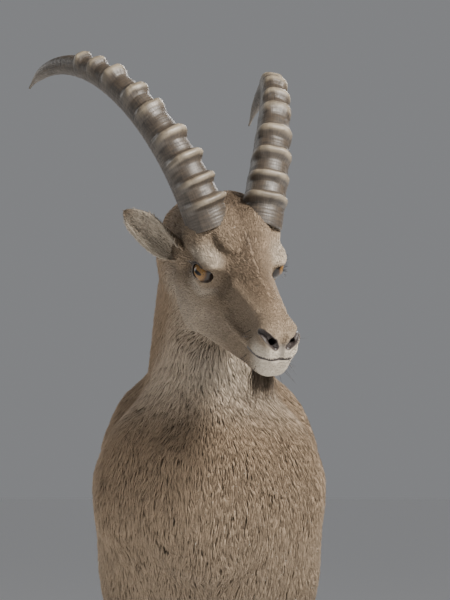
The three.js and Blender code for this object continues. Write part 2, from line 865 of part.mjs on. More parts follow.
let head = headAt(0);
for (const side of [-1, 1]) {
  const label = side < 0 ? "right" : "left";
  const centre = [eyeCentre[0], side * eyeCentre[1], eyeCentre[2]];
  const lids = setInHead(
    ball(eyeRadius + lidThickness, 18, 12),
    centre,
    [0.3, side, 0.1],
    [1, 0, 0],
  );
  const socket = setInHead(
    ball(eyeRadius + gap, 16, 10),
    centre,
    [0.3, side, 0.1],
    [1, 0, 0],
  );
  head = head.add(lids).subtract(socket).subtract(lidOpening(side));
  add(`eye_${label}`, eyeSolid(side), eyeColour, 0.2);
}
for (const side of [-1, 1]) {
  const label = side < 0 ? "right" : "left";
  head = head.subtract(nostrilSolid(side));
  const ear = side < 0 ? rightEar : leftEar;
  add(`ear_${label}`, earSolid(ear).subtract(headAt(gap)).subtract(roomForNeck), coatColour);
  const horn = side < 0 ? rightHorn : leftHorn;
  add(`horn_${label}`, hornSolid(horn).subtract(headAt(gap)), hornColour, 0.6);
}
add("head", head.subtract(mouthSolid()), coatColour);

for (const foot of feet) {
  const leg = solidOver(legRings(foot)).subtract(torsoAt(gap));
  add(`leg_${foot.name}`, leg, darkCoat);
  const ankle = legPoints(foot)[foot.path.length - 1].at;
  for (const side of [-1, 1]) {
    const label = side * foot.side > 0 ? "outer" : "inner";
    add(
      `hoof_${foot.name}_${label}`,
      clawSolid(ankle.x + 8, ankle.y, side),
      hoofColour,
      0.5,
    );
  }
}

// Tail: a stub with a tuft of locks
const tailRoot = new THREE.Vector3(-505, 0, 812);
const tailWay = new THREE.Vector3(-0.72, 0, -0.3).normalize();
const tailDroop = new THREE.Vector3(-0.3, 0, -1).normalize();
const tailLocks = [];
const tailNoise = noise(7);
for (let i = 0; i < 9; i++) {
  const angle = (2 * Math.PI * i) / 9 + tailNoise() * 0.3;
  const spread = new THREE.Vector3(0, Math.cos(angle), Math.sin(angle));
  const down = lerp(0.15, 0.75, tailNoise());
  tailLocks.push(
    lock({
      root: tailRoot
        .clone()
        .addScaledVector(tailWay, 55 * down)
        .addScaledVector(spread, 6),
      way: tailWay.clone().addScaledVector(spread, 0.35).normalize(),
      droop: tailDroop.clone().addScaledVector(spread, 0.18).normalize(),
      length: lerp(85, 110, tailNoise()),
      width: 24,
      thick: 12,
      face: spread,
    }),
  );
}
const stub = blob([-525, 0, 800], [52, 22, 22]);
add("tail", joined([stub, ...tailLocks]).subtract(torsoAt(gap)), darkCoat);

// Beard: locks that hang from the chin
const beardNoise = noise(11);
const beardLocks = [];
const beardDown = new THREE.Vector3(0.06, -0.03, -1).normalize();
for (let i = 0; i < 8; i++) {
  const angle = (2 * Math.PI * i) / 8 + beardNoise() * 0.4;
  const ring = i % 2 ? 0.45 : 1;
  const root = inHead(
    206 + 12 * ring * Math.cos(angle),
    8 * ring * Math.sin(angle),
    -52,
  );
  const out = new THREE.Vector3(Math.cos(angle), Math.sin(angle), 0);
  beardLocks.push(
    lock({
      root,
      way: beardDown.clone().addScaledVector(out, 0.22).normalize(),
      droop: beardDown.clone().addScaledVector(out, -0.06).normalize(),
      length: beardLength * lerp(0.85, 1.1, beardNoise()) + 18,
      width: 15,
      thick: 7,
      face: out,
    }),
  );
}
const chinTuft = blob([204, 0, -60], [16, 10, 14], headFrame);
add("beard", joined([chinTuft, ...beardLocks]).subtract(headAt(gap)), darkCoat);

const ibex = new THREE.Group();
const geometries = new Map([...parts].map(([name, part]) => [name, toGeometry(part.solid)]));
const bounds = new THREE.Box3();
for (const geometry of geometries.values()) {
  geometry.computeBoundingBox();
  bounds.union(geometry.boundingBox);
}
const middle = bounds.getCenter(new THREE.Vector3());
for (const [name, { colour, roughness }] of parts) {
  const geometry = geometries.get(name);
  geometry.translate(-middle.x, -middle.y, -bounds.min.z);
  const mesh = new THREE.Mesh(
    geometry,
    new THREE.MeshStandardMaterial({ color: colour, roughness, metalness: 0 }),
  );
  mesh.name = name;
  ibex.add(mesh);
}

export default ibex;
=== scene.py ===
# A standing male alpine ibex, life size: skin, coat, horns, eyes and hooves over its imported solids.
# Shapes are worked out in millimetres in the animal's own frame (x forward, y to its left, z up)
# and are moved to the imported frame, in metres, when their meshes are made.
import math
import bpy
import bmesh
import numpy as np
import openvdb
from mathutils import Matrix, Vector
from mathutils.bvhtree import BVHTree
from mathutils.kdtree import KDTree


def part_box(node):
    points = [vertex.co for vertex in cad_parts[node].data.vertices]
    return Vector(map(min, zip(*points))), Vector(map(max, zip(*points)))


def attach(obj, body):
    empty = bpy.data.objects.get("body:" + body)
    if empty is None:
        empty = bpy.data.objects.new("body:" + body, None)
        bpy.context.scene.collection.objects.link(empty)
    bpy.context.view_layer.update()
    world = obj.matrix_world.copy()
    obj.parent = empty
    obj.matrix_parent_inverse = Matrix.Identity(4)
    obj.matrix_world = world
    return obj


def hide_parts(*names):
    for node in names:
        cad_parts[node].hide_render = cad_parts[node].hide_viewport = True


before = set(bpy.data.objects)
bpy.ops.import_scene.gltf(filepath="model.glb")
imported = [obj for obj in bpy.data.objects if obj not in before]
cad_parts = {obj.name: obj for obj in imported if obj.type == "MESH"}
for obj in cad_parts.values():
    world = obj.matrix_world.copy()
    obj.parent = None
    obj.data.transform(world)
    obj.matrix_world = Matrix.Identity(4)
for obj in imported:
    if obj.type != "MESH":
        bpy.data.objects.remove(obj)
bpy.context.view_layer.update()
print("frame loaded,", len(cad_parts), "nodes")

headPose = {"origin": (392, 6, 1012), "turn": 22.9, "pitch": 29.8, "tilt": 4.7}
neckArc = {"foot": (225, 745), "length": 315, "rise": 83, "bend": 38}
eye = {
    "centre": (88, 50, 31), "radius": 17.5, "lid": 3.4,
    "gaze": (0.3, 1, 0.1), "forward": (1, 0, -0.12),
    "irisRadius": 0.8, "pupilWide": 0.46, "pupilHigh": 0.16,
}
bothSides = (("right", -1), ("left", 1))

headMatrix = (
    Matrix.Translation(headPose["origin"])
    @ Matrix.Rotation(math.radians(headPose["turn"]), 4, "Z")
    @ Matrix.Rotation(math.radians(headPose["tilt"]), 4, "X")
    @ Matrix.Rotation(math.radians(headPose["pitch"]), 4, "Y")
)
headTurn = np.array(headMatrix.to_3x3())
headOrigin = np.array(headPose["origin"], float)


def toHead(p):
    return (p - headOrigin) @ headTurn


def fromHead(p):
    return np.asarray(p, float) @ headTurn.T + headOrigin


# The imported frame's origin is under the middle of the whole animal, so an eye tells how far it moved
eyeLow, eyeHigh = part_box("eye_right")
designedEye = fromHead([eye["centre"][0], -eye["centre"][1], eye["centre"][2]])
frameShift = np.array((eyeLow + eyeHigh) / 2) * 1000 - designedEye


def toFrame(p):
    return (np.asarray(p, float) + frameShift) / 1000


def smooth(value, low, high):
    t = np.clip((value - low) / (high - low), 0, 1)
    return t * t * (3 - 2 * t)


def unit(v):
    return v / np.maximum(np.linalg.norm(v, axis=-1, keepdims=True), 1e-9)


# Forms: functions of points that are negative inside and grow like a distance outside

def egg(centre, radii, pitch=0):
    c, s = math.cos(math.radians(pitch)), math.sin(math.radians(pitch))

    def form(p):
        dx, dy, dz = p[:, 0] - centre[0], p[:, 1] - centre[1], p[:, 2] - centre[2]
        u = (dx * c - dz * s) / radii[0]
        v = dy / radii[1]
        w = (dx * s + dz * c) / radii[2]
        r = np.sqrt(u * u + v * v + w * w)
        slope = np.sqrt((u / radii[0]) ** 2 + (v / radii[1]) ** 2 + (w / radii[2]) ** 2)
        return np.where(slope > 1e-9, r * (r - 1) / np.maximum(slope, 1e-9), -min(radii))

    return form


def limb(a, b, ra, rb, flat=1.0):
    start = np.array([a[0], a[1] / flat, a[2]])
    d = np.array([b[0], b[1] / flat, b[2]]) - start
    length2 = d @ d

    def form(p):
        q = p * (1, 1 / flat, 1) - start
        t = np.clip(q @ d / length2, 0, 1)
        far = np.linalg.norm(q - t[:, None] * d, axis=1)
        return (far - (ra + (rb - ra) * t)) * ((1 + flat) / 2 if flat < 1 else 1)

    return form


def along(stations, column):
    at = np.array([row[0] for row in stations], float)
    value = np.array([row[column] for row in stations], float)
    slope = np.zeros(len(at))
    slope[1:-1] = (value[2:] - value[:-2]) / (at[2:] - at[:-2])

    def curve(x):
        x = np.clip(x, at[0], at[-1])
        i = np.clip(np.searchsorted(at, x, side="left") - 1, 0, len(at) - 2)
        h = at[i + 1] - at[i]
        t = (x - at[i]) / h
        t2, t3 = t * t, t * t * t
        return (
            (2 * t3 - 3 * t2 + 1) * value[i] + (t3 - 2 * t2 + t) * h * slope[i]
            + (3 * t2 - 2 * t3) * value[i + 1] + (t3 - t2) * h * slope[i + 1]
        )

    return curve


# Stations of a sweep: x, top, bottom, half width, taper, squareness
def sweep(stations):
    top, bottom, wide, taper, square = (along(stations, column) for column in range(1, 6))
    first, last = stations[0][0], stations[-1][0]

    def form(p):
        x, y, z = p[:, 0], p[:, 1], p[:, 2]
        u = np.clip(x, first, last)
        end = np.maximum(first - x, x - last)
        t, b = top(u), bottom(u)
        high = (t - b) / 2
        dz = z - (t + b) / 2
        v = dz / high
        w = wide(u) * (1 - taper(u) * np.clip(v, -1.2, 1.2))
        n = square(u)
        r = (np.abs(y / w) ** n + np.abs(v) ** n) ** (1 / n)
        q = np.hypot(y, dz)
        side = np.where(r > 1e-6, q - q / np.maximum(r, 1e-6), -np.minimum(w, high))
        return np.where(end > 0, np.hypot(np.maximum(side, 0), end), np.maximum(side, end))

    return form


# Two distances made one with a rounded edge; a cut is the same with the signs turned
def joined(d, e, fillet):
    h = np.maximum(fillet - np.abs(d - e), 0) / fillet
    return np.minimum(d, e) - h * h * fillet / 4


def blend(fillet, *forms):
    def form(p):
        d = forms[0](p)
        for other in forms[1:]:
            d = joined(d, other(p), fillet)
        return d

    return form


def dent(form, fillet, tool):
    return lambda p: -joined(-form(p), tool(p), fillet)


# The same place on the left half, for a point on either half
def onLeft(p):
    return np.column_stack([p[:, 0], np.abs(p[:, 1]), p[:, 2]])


def mirrored(form):
    return lambda p: form(onLeft(p))


def mirroredHead(p):
    return onLeft(toHead(p))


# A vector given for the left half, on the side asked for
def onSide(v, side):
    return np.array(v, float) * (1, side, 1)


farAway = 260.0

# A form is worked out only near its own box, and counts as far away elsewhere
def near(form, low, high, margin=75.0):
    low, high = np.array(low, float) - margin, np.array(high, float) + margin

    def limited(p):
        value = np.full(len(p), farAway)
        inside = np.all((p > low) & (p < high), axis=1)
        if inside.any():
            value[inside] = form(p[inside])
        return value

    return limited


def tubeAlong(points, radii):
    pieces = [
        limb(points[i], points[i + 1], radii[i], radii[i + 1]) for i in range(len(points) - 1)
    ]

    def form(p):
        return np.min([piece(p) for piece in pieces], axis=0)

    return form


arcRadius = neckArc["length"] / math.radians(neckArc["bend"])
arcStart = math.radians(neckArc["rise"] + 90)
arcCentre = (
    neckArc["foot"][0] - arcRadius * math.cos(arcStart),
    neckArc["foot"][1] - arcRadius * math.sin(arcStart),
)


# Run along the neck's arc and height over it, in place of x and z
def toNeck(p):
    dx, dz = p[:, 0] - arcCentre[0], p[:, 2] - arcCentre[1]
    turn = arcStart - np.arctan2(dz, dx)
    run = np.arctan2(np.sin(turn), np.cos(turn)) * arcRadius
    return np.column_stack([run, p[:, 1], np.hypot(dx, dz) - arcRadius])


# Trunk: x, top, bottom, half width, taper, squareness
trunk = sweep([
    (-525, 815, 715, 58, 0, 2), (-492, 852, 650, 100, 0, 2),
    (-430, 880, 585, 128, -0.02, 2.1), (-350, 892, 535, 138, 0, 2.2),
    (-250, 882, 490, 148, 0.03, 2.2), (-120, 868, 456, 160, 0.05, 2.1),
    (10, 872, 440, 164, 0.1, 2.1), (100, 895, 432, 152, 0.22, 2),
    (165, 897, 436, 146, 0.26, 2), (245, 860, 456, 138, 0.24, 2),
    (320, 790, 500, 118, 0.06, 2.1), (372, 735, 560, 84, 0, 2),
])
neckSweep = sweep([
    (-90, 120, -165, 104, 0, 2), (0, 140, -178, 114, 0.02, 2),
    (80, 132, -140, 99, 0.08, 2), (160, 122, -98, 88, 0.08, 2),
    (240, 110, -64, 78, 0.04, 2), (300, 94, -46, 69, 0.02, 2.1),
    (335, 84, -40, 64, 0, 2.1), (375, 76, -36, 58, 0, 2.1),
])
neck = near(lambda p: neckSweep(toNeck(p)), (60, -125, 600), (520, 125, 1180))
shoulder = mirrored(blend(
    40,
    egg((172, 96, 718), (100, 66, 118), -20),
    egg((258, 100, 680), (88, 70, 118), 18),
    egg((190, 104, 570), (74, 54, 112), -16),
))
thigh = mirrored(blend(
    40,
    egg((-400, 84, 705), (110, 62, 130), 10),
    egg((-350, 96, 620), (84, 54, 100), -22),
    egg((-438, 90, 620), (80, 50, 100), 10),
))
torso = blend(
    60,
    trunk,
    near(egg((318, 0, 655), (100, 112, 125), 30), (200, -112, 520), (430, 112, 790)),
    near(shoulder, (60, -180, 440), (360, 180, 880)),
    near(thigh, (-530, -155, 500), (-260, 155, 850)),
)

# Head, in its own frame (x to the nose, z to the crown)
skull = sweep([
    (-50, 80, -74, 70, 0, 2.1), (0, 102, -80, 64, 0, 2.2), (45, 107, -82, 57, 0, 2.3),
    (80, 99, -78, 52, 0.02, 2.4), (112, 82, -73, 45, 0.08, 2.4), (145, 65, -68, 36, 0.12, 2.3),
    (185, 50, -62, 30, 0.12, 2.3), (222, 37, -60, 27, 0.02, 2.4), (246, 25, -52, 23, -0.04, 2.3),
    (255, 15, -34, 17, -0.04, 2.1),
])
headMasses = mirrored(blend(
    12,
    egg((4, 20, 62), (60, 48, 46)),  # brain case
    limb((50, 22, 72), (48, 38, 70), 40, 36),  # foot of the horn
    egg((80, 48, 52), (38, 20, 19), 12),  # brow
    egg(eye["centre"], (21, 21, 20)),  # lids
    limb((126, 38, -2), (30, 54, -10), 12, 16),  # cheek bone
    egg((46, 42, -40), (44, 19, 40), 12),  # chewing muscle
    limb((212, 13, -48), (52, 32, -64), 12, 18),  # lower jaw
    egg((238, 12.5, 4), (22, 14.5, 17), 10),  # nostril
    egg((230, 13, -16), (28, 18, 15), 6),  # upper lip
    egg((224, 7, -46), (24, 16, 17), -6),  # chin
))
headHollows = mirrored(blend(
    10,
    egg((128, 60, 22), (26, 18, 20), 15),  # in front of the eye
    egg((182, 50, 2), (40, 18, 15), 8),  # beside the nose
))
headRough = dent(blend(20, skull, headMasses), 20, headHollows)

# Finer forms of the head
headFine = mirrored(blend(
    8,
    egg((80, 22, 86), (36, 21, 14), 24),  # bulge of the forehead
    egg((96, 54, 56), (22, 10, 9), 18),  # edge of the brow
    egg((16, 60, 26), (26, 16, 24)),  # foot of the ear
    egg((246, 20, 5), (13, 8.5, 11), 20),  # wing of the nostril
    limb((196, 30, -22), (150, 34, -20), 6, 5),  # cheek over the corner of the mouth
    limb((140, 26, 32), (205, 17, 22), 8, 8),  # edge of the nose bone
))
nostrilPath = [(237, 28.5, 10), (247, 27.5, 12.5), (255.5, 23.5, 9.5), (260, 16, 3), (260, 9.5, -5)]
nostrilSlit = tubeAlong(nostrilPath, [2.0, 3.6, 4.8, 5.2, 3.4])
nostrilWell = limb((258, 15, 3), (236, 13, -2), 5.4, 3.6)
nostrilHole = mirrored(lambda p: np.minimum(nostrilSlit(p), nostrilWell(p)))
lipGroove = tubeAlong([(266, 0, 4), (262, 0, -12), (258, 0, -25)], [1.2, 1.6, 1.4])
mouthHeight = along([(180, -27), (192, -29), (206, -29), (226, -27.5), (250, -25), (275, -24)], 1)


def mouthGap(p):
    plate = np.abs(p[:, 2] - mouthHeight(p[:, 0])) - 1.1
    return np.maximum(np.maximum(plate, 182 - p[:, 0]), -5.5 - headRough(p))


# The eye's own directions: x towards the nose, y up, z along the gaze
def eyeAxes(side):
    z = unit(onSide(eye["gaze"], side))
    x = np.array(eye["forward"], float)
    x = unit(x - (x @ z) * z)
    y = np.cross(z, x) * (1 if side < 0 else -1)
    return np.column_stack([x, y, z])


def quadratic(a, b, c, steps):
    t = np.linspace(0, 1, steps, endpoint=False)[:, None]
    return (1 - t) ** 2 * np.array(a) + 2 * t * (1 - t) * np.array(b) + t * t * np.array(c)


# The almond between the lids, from its back corner over the top and back below
upperLid = np.vstack([
    quadratic((-15.5, 1.5), (-10, 12), (1, 12), 8),
    quadratic((1, 12), (13, 11), (19, -5), 9),
])
lowerLid = np.vstack([
    quadratic((19, -5), (9, -8.6), (0, -8.2), 8),
    quadratic((0, -8.2), (-10, -6.5), (-15.5, 1.5), 8),
])
almond = np.vstack([upperLid, lowerLid])
eyeCentre = np.array(eye["centre"], float)
eyeTurn = eyeAxes(1)


def inEye(p):
    return (p - eyeCentre) @ eyeTurn


def eyeDistance(p):
    return np.linalg.norm(p - eyeCentre, axis=1)


def almondDistance(q):
    a, b = almond, np.roll(almond, -1, axis=0)
    best = np.full(len(q), 1e9)
    inside = np.zeros(len(q), bool)
    for (ax, ay), (bx, by) in zip(a, b):
        ex, ey = bx - ax, by - ay
        t = np.clip(((q[:, 0] - ax) * ex + (q[:, 1] - ay) * ey) / (ex * ex + ey * ey), 0, 1)
        best = np.minimum(best, np.hypot(q[:, 0] - ax - t * ex, q[:, 1] - ay - t * ey))
        crosses = (ay > q[:, 1]) != (by > q[:, 1])
        cut = ax + (q[:, 1] - ay) / np.where(by == ay, 1e-9, by - ay) * ex
        inside ^= crosses & (q[:, 0] < cut)
    return np.where(inside, -best, best)


# Points on the lids around the almond, some distance out from its edge
def lidLine(outline, out, radius):
    middle = almond.mean(0)
    way = unit((outline - middle) * (0.8, 1.25))
    flat = outline + way * out
    deep = np.sqrt(np.maximum(radius ** 2 - (flat ** 2).sum(1), 9.0))
    return np.column_stack([flat, deep]) @ eyeTurn.T + eyeCentre


lidRadius = eye["radius"] + eye["lid"]
lidRim = tubeAlong(
    lidLine(np.vstack([almond, almond[:1]]), 1.6, lidRadius + 0.6), [1.9] * (len(almond) + 1)
)
upperFold = tubeAlong(lidLine(upperLid, 7.6, lidRadius + 2.2), [1.3] * len(upperLid))
browFold = tubeAlong(lidLine(upperLid[3:], 12.5, lidRadius + 5), [1.1] * (len(upperLid) - 3))
lowerFold = tubeAlong(lidLine(lowerLid[1:], 6.5, lidRadius + 1.6), [1.2] * (len(lowerLid) - 1))
lowestFold = tubeAlong(lidLine(lowerLid[3:], 11.5, lidRadius + 2.5), [1.0] * (len(lowerLid) - 3))
tearLine = tubeAlong(
    [eyeCentre + eyeTurn @ np.array(v) for v in ((18, -6, 12), (24, -10, 9), (31, -15, 4))],
    [1.8, 2.0, 1.0],
)


def lidOpening(p):
    q = inEye(p)
    far = np.hypot(q[:, 0], q[:, 1]) - 12
    close = far < 12
    value = np.maximum(far, 9 - q[:, 2])
    value[close] = np.maximum(almondDistance(q[close, :2]), 9 - q[close, 2])
    return value


def lidded(form):
    reach = 46
    cuts = (
        (upperFold, 4.0), (browFold, 4.0), (lowerFold, 3.5), (lowestFold, 3.0), (tearLine, 3.5),
        (lidOpening, 1.2),
    )

    def shaped(p):
        value = form(p)
        m = onLeft(p)
        here = np.all(np.abs(m - eyeCentre) < reach, axis=1)
        if here.any():
            d = joined(value[here], lidRim(m[here]), 3)
            for tool, fillet in cuts:
                d = -joined(-d, tool(m[here]), fillet)
            value[here] = d
        return value

    return shaped


# Thickness of the short hair on the face, over the skin
def faceHair(p):
    bare = np.exp(-(((p[:, 0] - 250) / 14) ** 2)) * 0.6
    back = smooth(p[:, 0], 40, -50)
    nearEye = smooth(eyeDistance(onLeft(p)), 20, 40)
    return (2.2 + 3.5 * back) * (1 - bare) * (0.35 + 0.65 * nearEye)


headFleshed = blend(9, headRough, headFine)
headOpened = dent(lambda p: headFleshed(p) + faceHair(p), 2.5, nostrilHole)
headPlain = dent(headOpened, 1.5, mirrored(lidOpening))
headSkin = lidded(dent(dent(headOpened, 2.0, lipGroove), 1.6, mouthGap))
headLow, headHigh = (280, -110, 860), (620, 190, 1140)
placedHead = near(lambda p: headSkin(toHead(p)), headLow, headHigh)
placedPlainHead = near(lambda p: headPlain(toHead(p)), headLow, headHigh)

# Legs: points of x, y, z, radius from the body to the hair line over the hoof
foreLeg = [
    (182, 90, 560, 74), (178, 91, 500, 56), (182, 89, 410, 38), (194, 86, 325, 27),
    (199, 85, 286, 29), (198, 85, 245, 22), (194, 84, 180, 21), (191, 84, 132, 21),
    (190, 84, 108, 25), (200, 84, 80, 22), (211, 84, 49, 25),
]
hindLeg = [
    (-398, 92, 610, 104), (-402, 94, 545, 96), (-420, 93, 485, 74), (-452, 90, 430, 50),
    (-484, 86, 385, 37), (-508, 84, 338, 34), (-510, 83, 290, 27), (-500, 83, 215, 22),
    (-487, 83, 140, 22), (-480, 83, 112, 26), (-470, 83, 82, 22), (-457, 83, 49, 25),
]
# How flat the leg is above the cannon bone, and how far up its form is worked out
legShape = {"hindFlat": 0.62, "foreFlat": 0.8, "roundBelow": 150, "top": 680, "fillet": 12}
feet = [
    {"name": "fore_right", "path": foreLeg, "side": -1, "step": 26},
    {"name": "fore_left", "path": foreLeg, "side": 1, "step": -22},
    {"name": "hind_right", "path": hindLeg, "side": -1, "step": -38},
    {"name": "hind_left", "path": hindLeg, "side": 1, "step": 34},
]


def legPoints(foot):
    high = foot["path"][0][2]
    return [
        (x + foot["step"] * (1 - z / high), foot["side"] * y, z, r)
        for x, y, z, r in foot["path"]
    ]


def legForm(foot):
    points = legPoints(foot)
    hind = foot["path"] is hindLeg
    pieces = []
    for a, b in zip(points, points[1:]):
        flat = legShape["hindFlat" if hind else "foreFlat"] if b[2] > legShape["roundBelow"] else 1.0
        pieces.append(limb(a[:3], b[:3], a[3], b[3], flat))
    if hind:
        heel = [0.4 * a + 0.6 * b for a, b in zip(points[4][:3], points[5][:3])]
        calf = points[3]
        pieces.append(limb(
            (calf[0] - 14, calf[1], calf[2]), (heel[0] - 18, heel[1], heel[2]), 26, 21, 0.7
        ))
    xs, ys = [q[0] for q in points], [q[1] for q in points]
    low, high = (min(xs) - 60, min(ys) - 40, 0), (max(xs) + 60, max(ys) + 40, legShape["top"])
    return near(blend(legShape["fillet"], *pieces), low, high, 60)


legs = [legForm(foot) for foot in feet]

# Horns: a tapering curved tube whose front swells into knobs, with growth rings between them
horn = {
    "foot": (73, 36, 108.5), "sunk": 14, "deep": 75, "wide": 63, "rings": 300, "around": 48,
    "crests": (0.069, 0.127, 0.192, 0.262, 0.358, 0.422, 0.518, 0.592, 0.658),
    "Knob height": 12.0, "Growth rings": 120.0, "Ring depth": 0.5, "Unevenness": 1.1,
}
hornCurves = {
    "right": {"back": 27.7, "out": 17.4, "bend": 115, "turn": 9.1, "length": 504, "ease": 0.18},
    "left": {"back": 29.8, "out": 15.7, "bend": 119.2, "turn": 15.5, "length": 500, "ease": -0.04},
}


def hornPath(side, curve):
    a, f, t = (math.radians(curve[key]) for key in ("back", "out", "turn"))
    rise = np.array([-math.sin(a), 0, math.cos(a)])
    fall = np.array([-math.cos(a), 0, -math.sin(a)])
    outward = np.array([0.0, side, 0])
    start = rise * math.cos(f) + outward * math.sin(f)
    toward = fall * math.cos(t) + outward * math.cos(f) * math.sin(t) - rise * math.sin(f) * math.sin(t)
    steps = horn["rings"]
    u = np.linspace(0, 1, steps + 1)[:, None]
    angle = math.radians(curve["bend"]) * (u + curve["ease"] * (u * u - u))
    way = start * np.cos(angle) + toward * np.sin(angle)
    front = start * np.sin(angle) - toward * np.cos(angle)
    foot = onSide(horn["foot"], side) + toward * (horn["deep"] * 0.49) - start * horn["sunk"]
    step = (curve["length"] + horn["sunk"]) / steps
    stepped = np.vstack([np.zeros(3), np.cumsum(way[:-1], axis=0) * step])
    return foot + stepped, way, front, np.cross(way, front), u[:, 0]


coatDepth = {"body": 8.0, "leg": 2.5, "kneeTop": 620, "kneeLow": 420}

# Muscles and bones under the coat: x, z, reach in x and z, and how far the skin sinks there
relief = [
    (98, 690, 42, 130, 8), (-262, 715, 52, 75, 10), (128, 545, 34, 42, 7), (240, 812, 26, 60, 6),
    (-378, 838, 34, 22, -5), (-322, 600, 26, 80, -4.5), (300, 640, 34, 44, -5),
    (172, 826, 24, 34, -4.5), (206, 764, 24, 34, -4.5), (240, 700, 24, 34, -4.5),
    (-452, 745, 30, 60, -4), (-410, 690, 30, 90, 4),
]


def bodyHair(p):
    high = smooth(p[:, 2], coatDepth["kneeLow"], coatDepth["kneeTop"])
    depth = coatDepth["leg"] + (coatDepth["body"] - coatDepth["leg"]) * high
    for x, z, reachX, reachZ, sink in relief:
        depth = depth + sink * np.exp(-((p[:, 0] - x) / reachX) ** 2 - ((p[:, 2] - z) / reachZ) ** 2)
    return depth


fleshBody = blend(30, blend(60, torso, neck), *legs)


def skinBody(p):
    return fleshBody(p) + bodyHair(p)


skin = blend(34, skinBody, placedHead)
plainSkin = blend(34, skinBody, placedPlainHead)


def evaluate(form, p, chunk=50000):
    return np.concatenate([form(p[i:i + chunk]) for i in range(0, len(p), chunk)])


def slopeOf(form, p, step=0.6):
    value = evaluate(form, p)
    slope = np.column_stack([
        evaluate(form, p + np.array(way) * step) - value
        for way in ((1, 0, 0), (0, 1, 0), (0, 0, 1))
    ]) / step
    return value, slope


# Moves points on to the level of a form
def settle(form, p, level=0.0, rounds=2, most=2.0):
    for _ in range(rounds):
        value, slope = slopeOf(form, p)
        size2 = np.maximum((slope ** 2).sum(1), 0.09)
        move = -((value - level) / size2)[:, None] * slope
        far = np.linalg.norm(move, axis=1, keepdims=True)
        p = p + move * np.minimum(1, most / np.maximum(far, 1e-9))
    return p


# Surface of a form, worked out on grids that get finer only where the surface passes
def surfaceOf(form, low, high, fine, levels=3):
    low = np.array(low, float)
    step = fine * 2 ** levels
    count = np.ceil((np.array(high) - low) / step).astype(int) + 1
    grid = np.stack(np.meshgrid(*[np.arange(n) for n in count], indexing="ij"), -1).reshape(-1, 3)
    value = evaluate(form, low + grid * step).reshape(count).astype(np.float32)
    for _ in range(levels):
        band = 2.4 * step
        for axis in range(3):
            value = np.repeat(value, 2, axis=axis)
        step /= 2
        cells = np.argwhere(np.abs(value) < band)
        value[tuple(cells.T)] = evaluate(form, low + cells * step)
    grid = openvdb.FloatGrid(farAway)
    grid.copyFromArray(value, tolerance=0)
    points, _, quads = grid.convertToPolygons(isovalue=0.0, adaptivity=0.0)
    return low + points * step, quads


skinMesh = {
    "voxel": 3.0, "halvings": 2, "bodyShare": 0.27, "low": (-560, -190, 30), "high": (630, 200, 1150),
}
points, quads = surfaceOf(plainSkin, skinMesh["low"], skinMesh["high"], skinMesh["voxel"])
points = settle(plainSkin, points)
print("skin surface,", len(quads), "quads")


def inFineZone(p):
    m = mirroredHead(p)
    eyes = np.linalg.norm((m - eyeCentre - (0, 8, 0)) / (1.25, 1, 1), axis=1) < 27
    lips = (m[:, 0] > 196) & (m[:, 2] < 24) & (m[:, 2] > -44)
    corner = (m[:, 0] > 174) & (m[:, 2] < -14) & (m[:, 2] > -42)
    return eyes | lips | corner


def keepLargest(mesh):
    left = set(mesh.verts)
    groups = []
    while left:
        seed = left.pop()
        group, queue = [seed], [seed]
        while queue:
            for edge in queue.pop().link_edges:
                for other in edge.verts:
                    if other in left:
                        left.remove(other)
                        group.append(other)
                        queue.append(other)
        groups.append(group)
    groups.sort(key=len)
    bmesh.ops.delete(mesh, geom=[v for group in groups[:-1] for v in group], context="VERTS")


def placesOf(work):
    work.verts.ensure_lookup_table()
    work.verts.index_update()
    return np.array([v.co for v in work.verts])


# Splits the faces around eyes, nose and mouth, and settles them on the finer form
def refine(work):
    marked = inFineZone(placesOf(work))
    edges = [e for e in work.edges if marked[e.verts[0].index] and marked[e.verts[1].index]]
    bmesh.ops.subdivide_edges(work, edges=edges, cuts=1, use_grid_fill=True)
    zone = np.flatnonzero(inFineZone(placesOf(work)))
    verts = [work.verts[i] for i in zone]
    for _ in range(2):
        bmesh.ops.smooth_vert(
            work, verts=verts, factor=0.5, use_axis_x=True, use_axis_y=True, use_axis_z=True
        )
        settled = settle(skin, np.array([v.co for v in verts]), most=1.2)
        for vert, place in zip(verts, settled.tolist()):
            vert.co = place


mesh = bpy.data.meshes.new("skin")
mesh.from_pydata(points.tolist(), [], quads.tolist())
work = bmesh.new()
work.from_mesh(mesh)
keepLargest(work)
for _ in range(skinMesh["halvings"]):
    refine(work)
work.to_mesh(mesh)
work.free()
print("skin refined,", len(mesh.polygons), "faces")


def inScene(name, data):
    piece = bpy.data.objects.new(name, data)
    bpy.context.scene.collection.objects.link(piece)
    return piece


# The body away from the head is made coarser, which leaves the head as it is
def decimated(mesh, share, keep):
    piece = inScene("work", mesh)
    group = piece.vertex_groups.new(name="body")
    group.add(np.flatnonzero(~keep).tolist(), 1.0, "REPLACE")
    modifier = piece.modifiers.new("thin", "DECIMATE")
    modifier.ratio = share
    modifier.vertex_group = group.name
    thinned = evaluatedMesh(piece)
    bpy.data.objects.remove(piece)
    return thinned


def evaluatedMesh(piece):
    bpy.context.view_layer.update()
    return bpy.data.meshes.new_from_object(
        piece.evaluated_get(bpy.context.evaluated_depsgraph_get())
    )


def pointsOf(mesh):
    co = np.empty(len(mesh.vertices) * 3, np.float32)
    mesh.vertices.foreach_get("co", co)
    return co.reshape(-1, 3).astype(float)


def setPoints(mesh, points):
    mesh.vertices.foreach_set("co", np.asarray(points, np.float32).ravel())
    mesh.update()


def setAttribute(mesh, name, kind, values):
    attribute = mesh.attributes.new(name, kind, "POINT")
    field = {"FLOAT": "value", "FLOAT_VECTOR": "vector", "FLOAT_COLOR": "color"}[kind]
    attribute.data.foreach_set(field, np.asarray(values, np.float32).ravel())


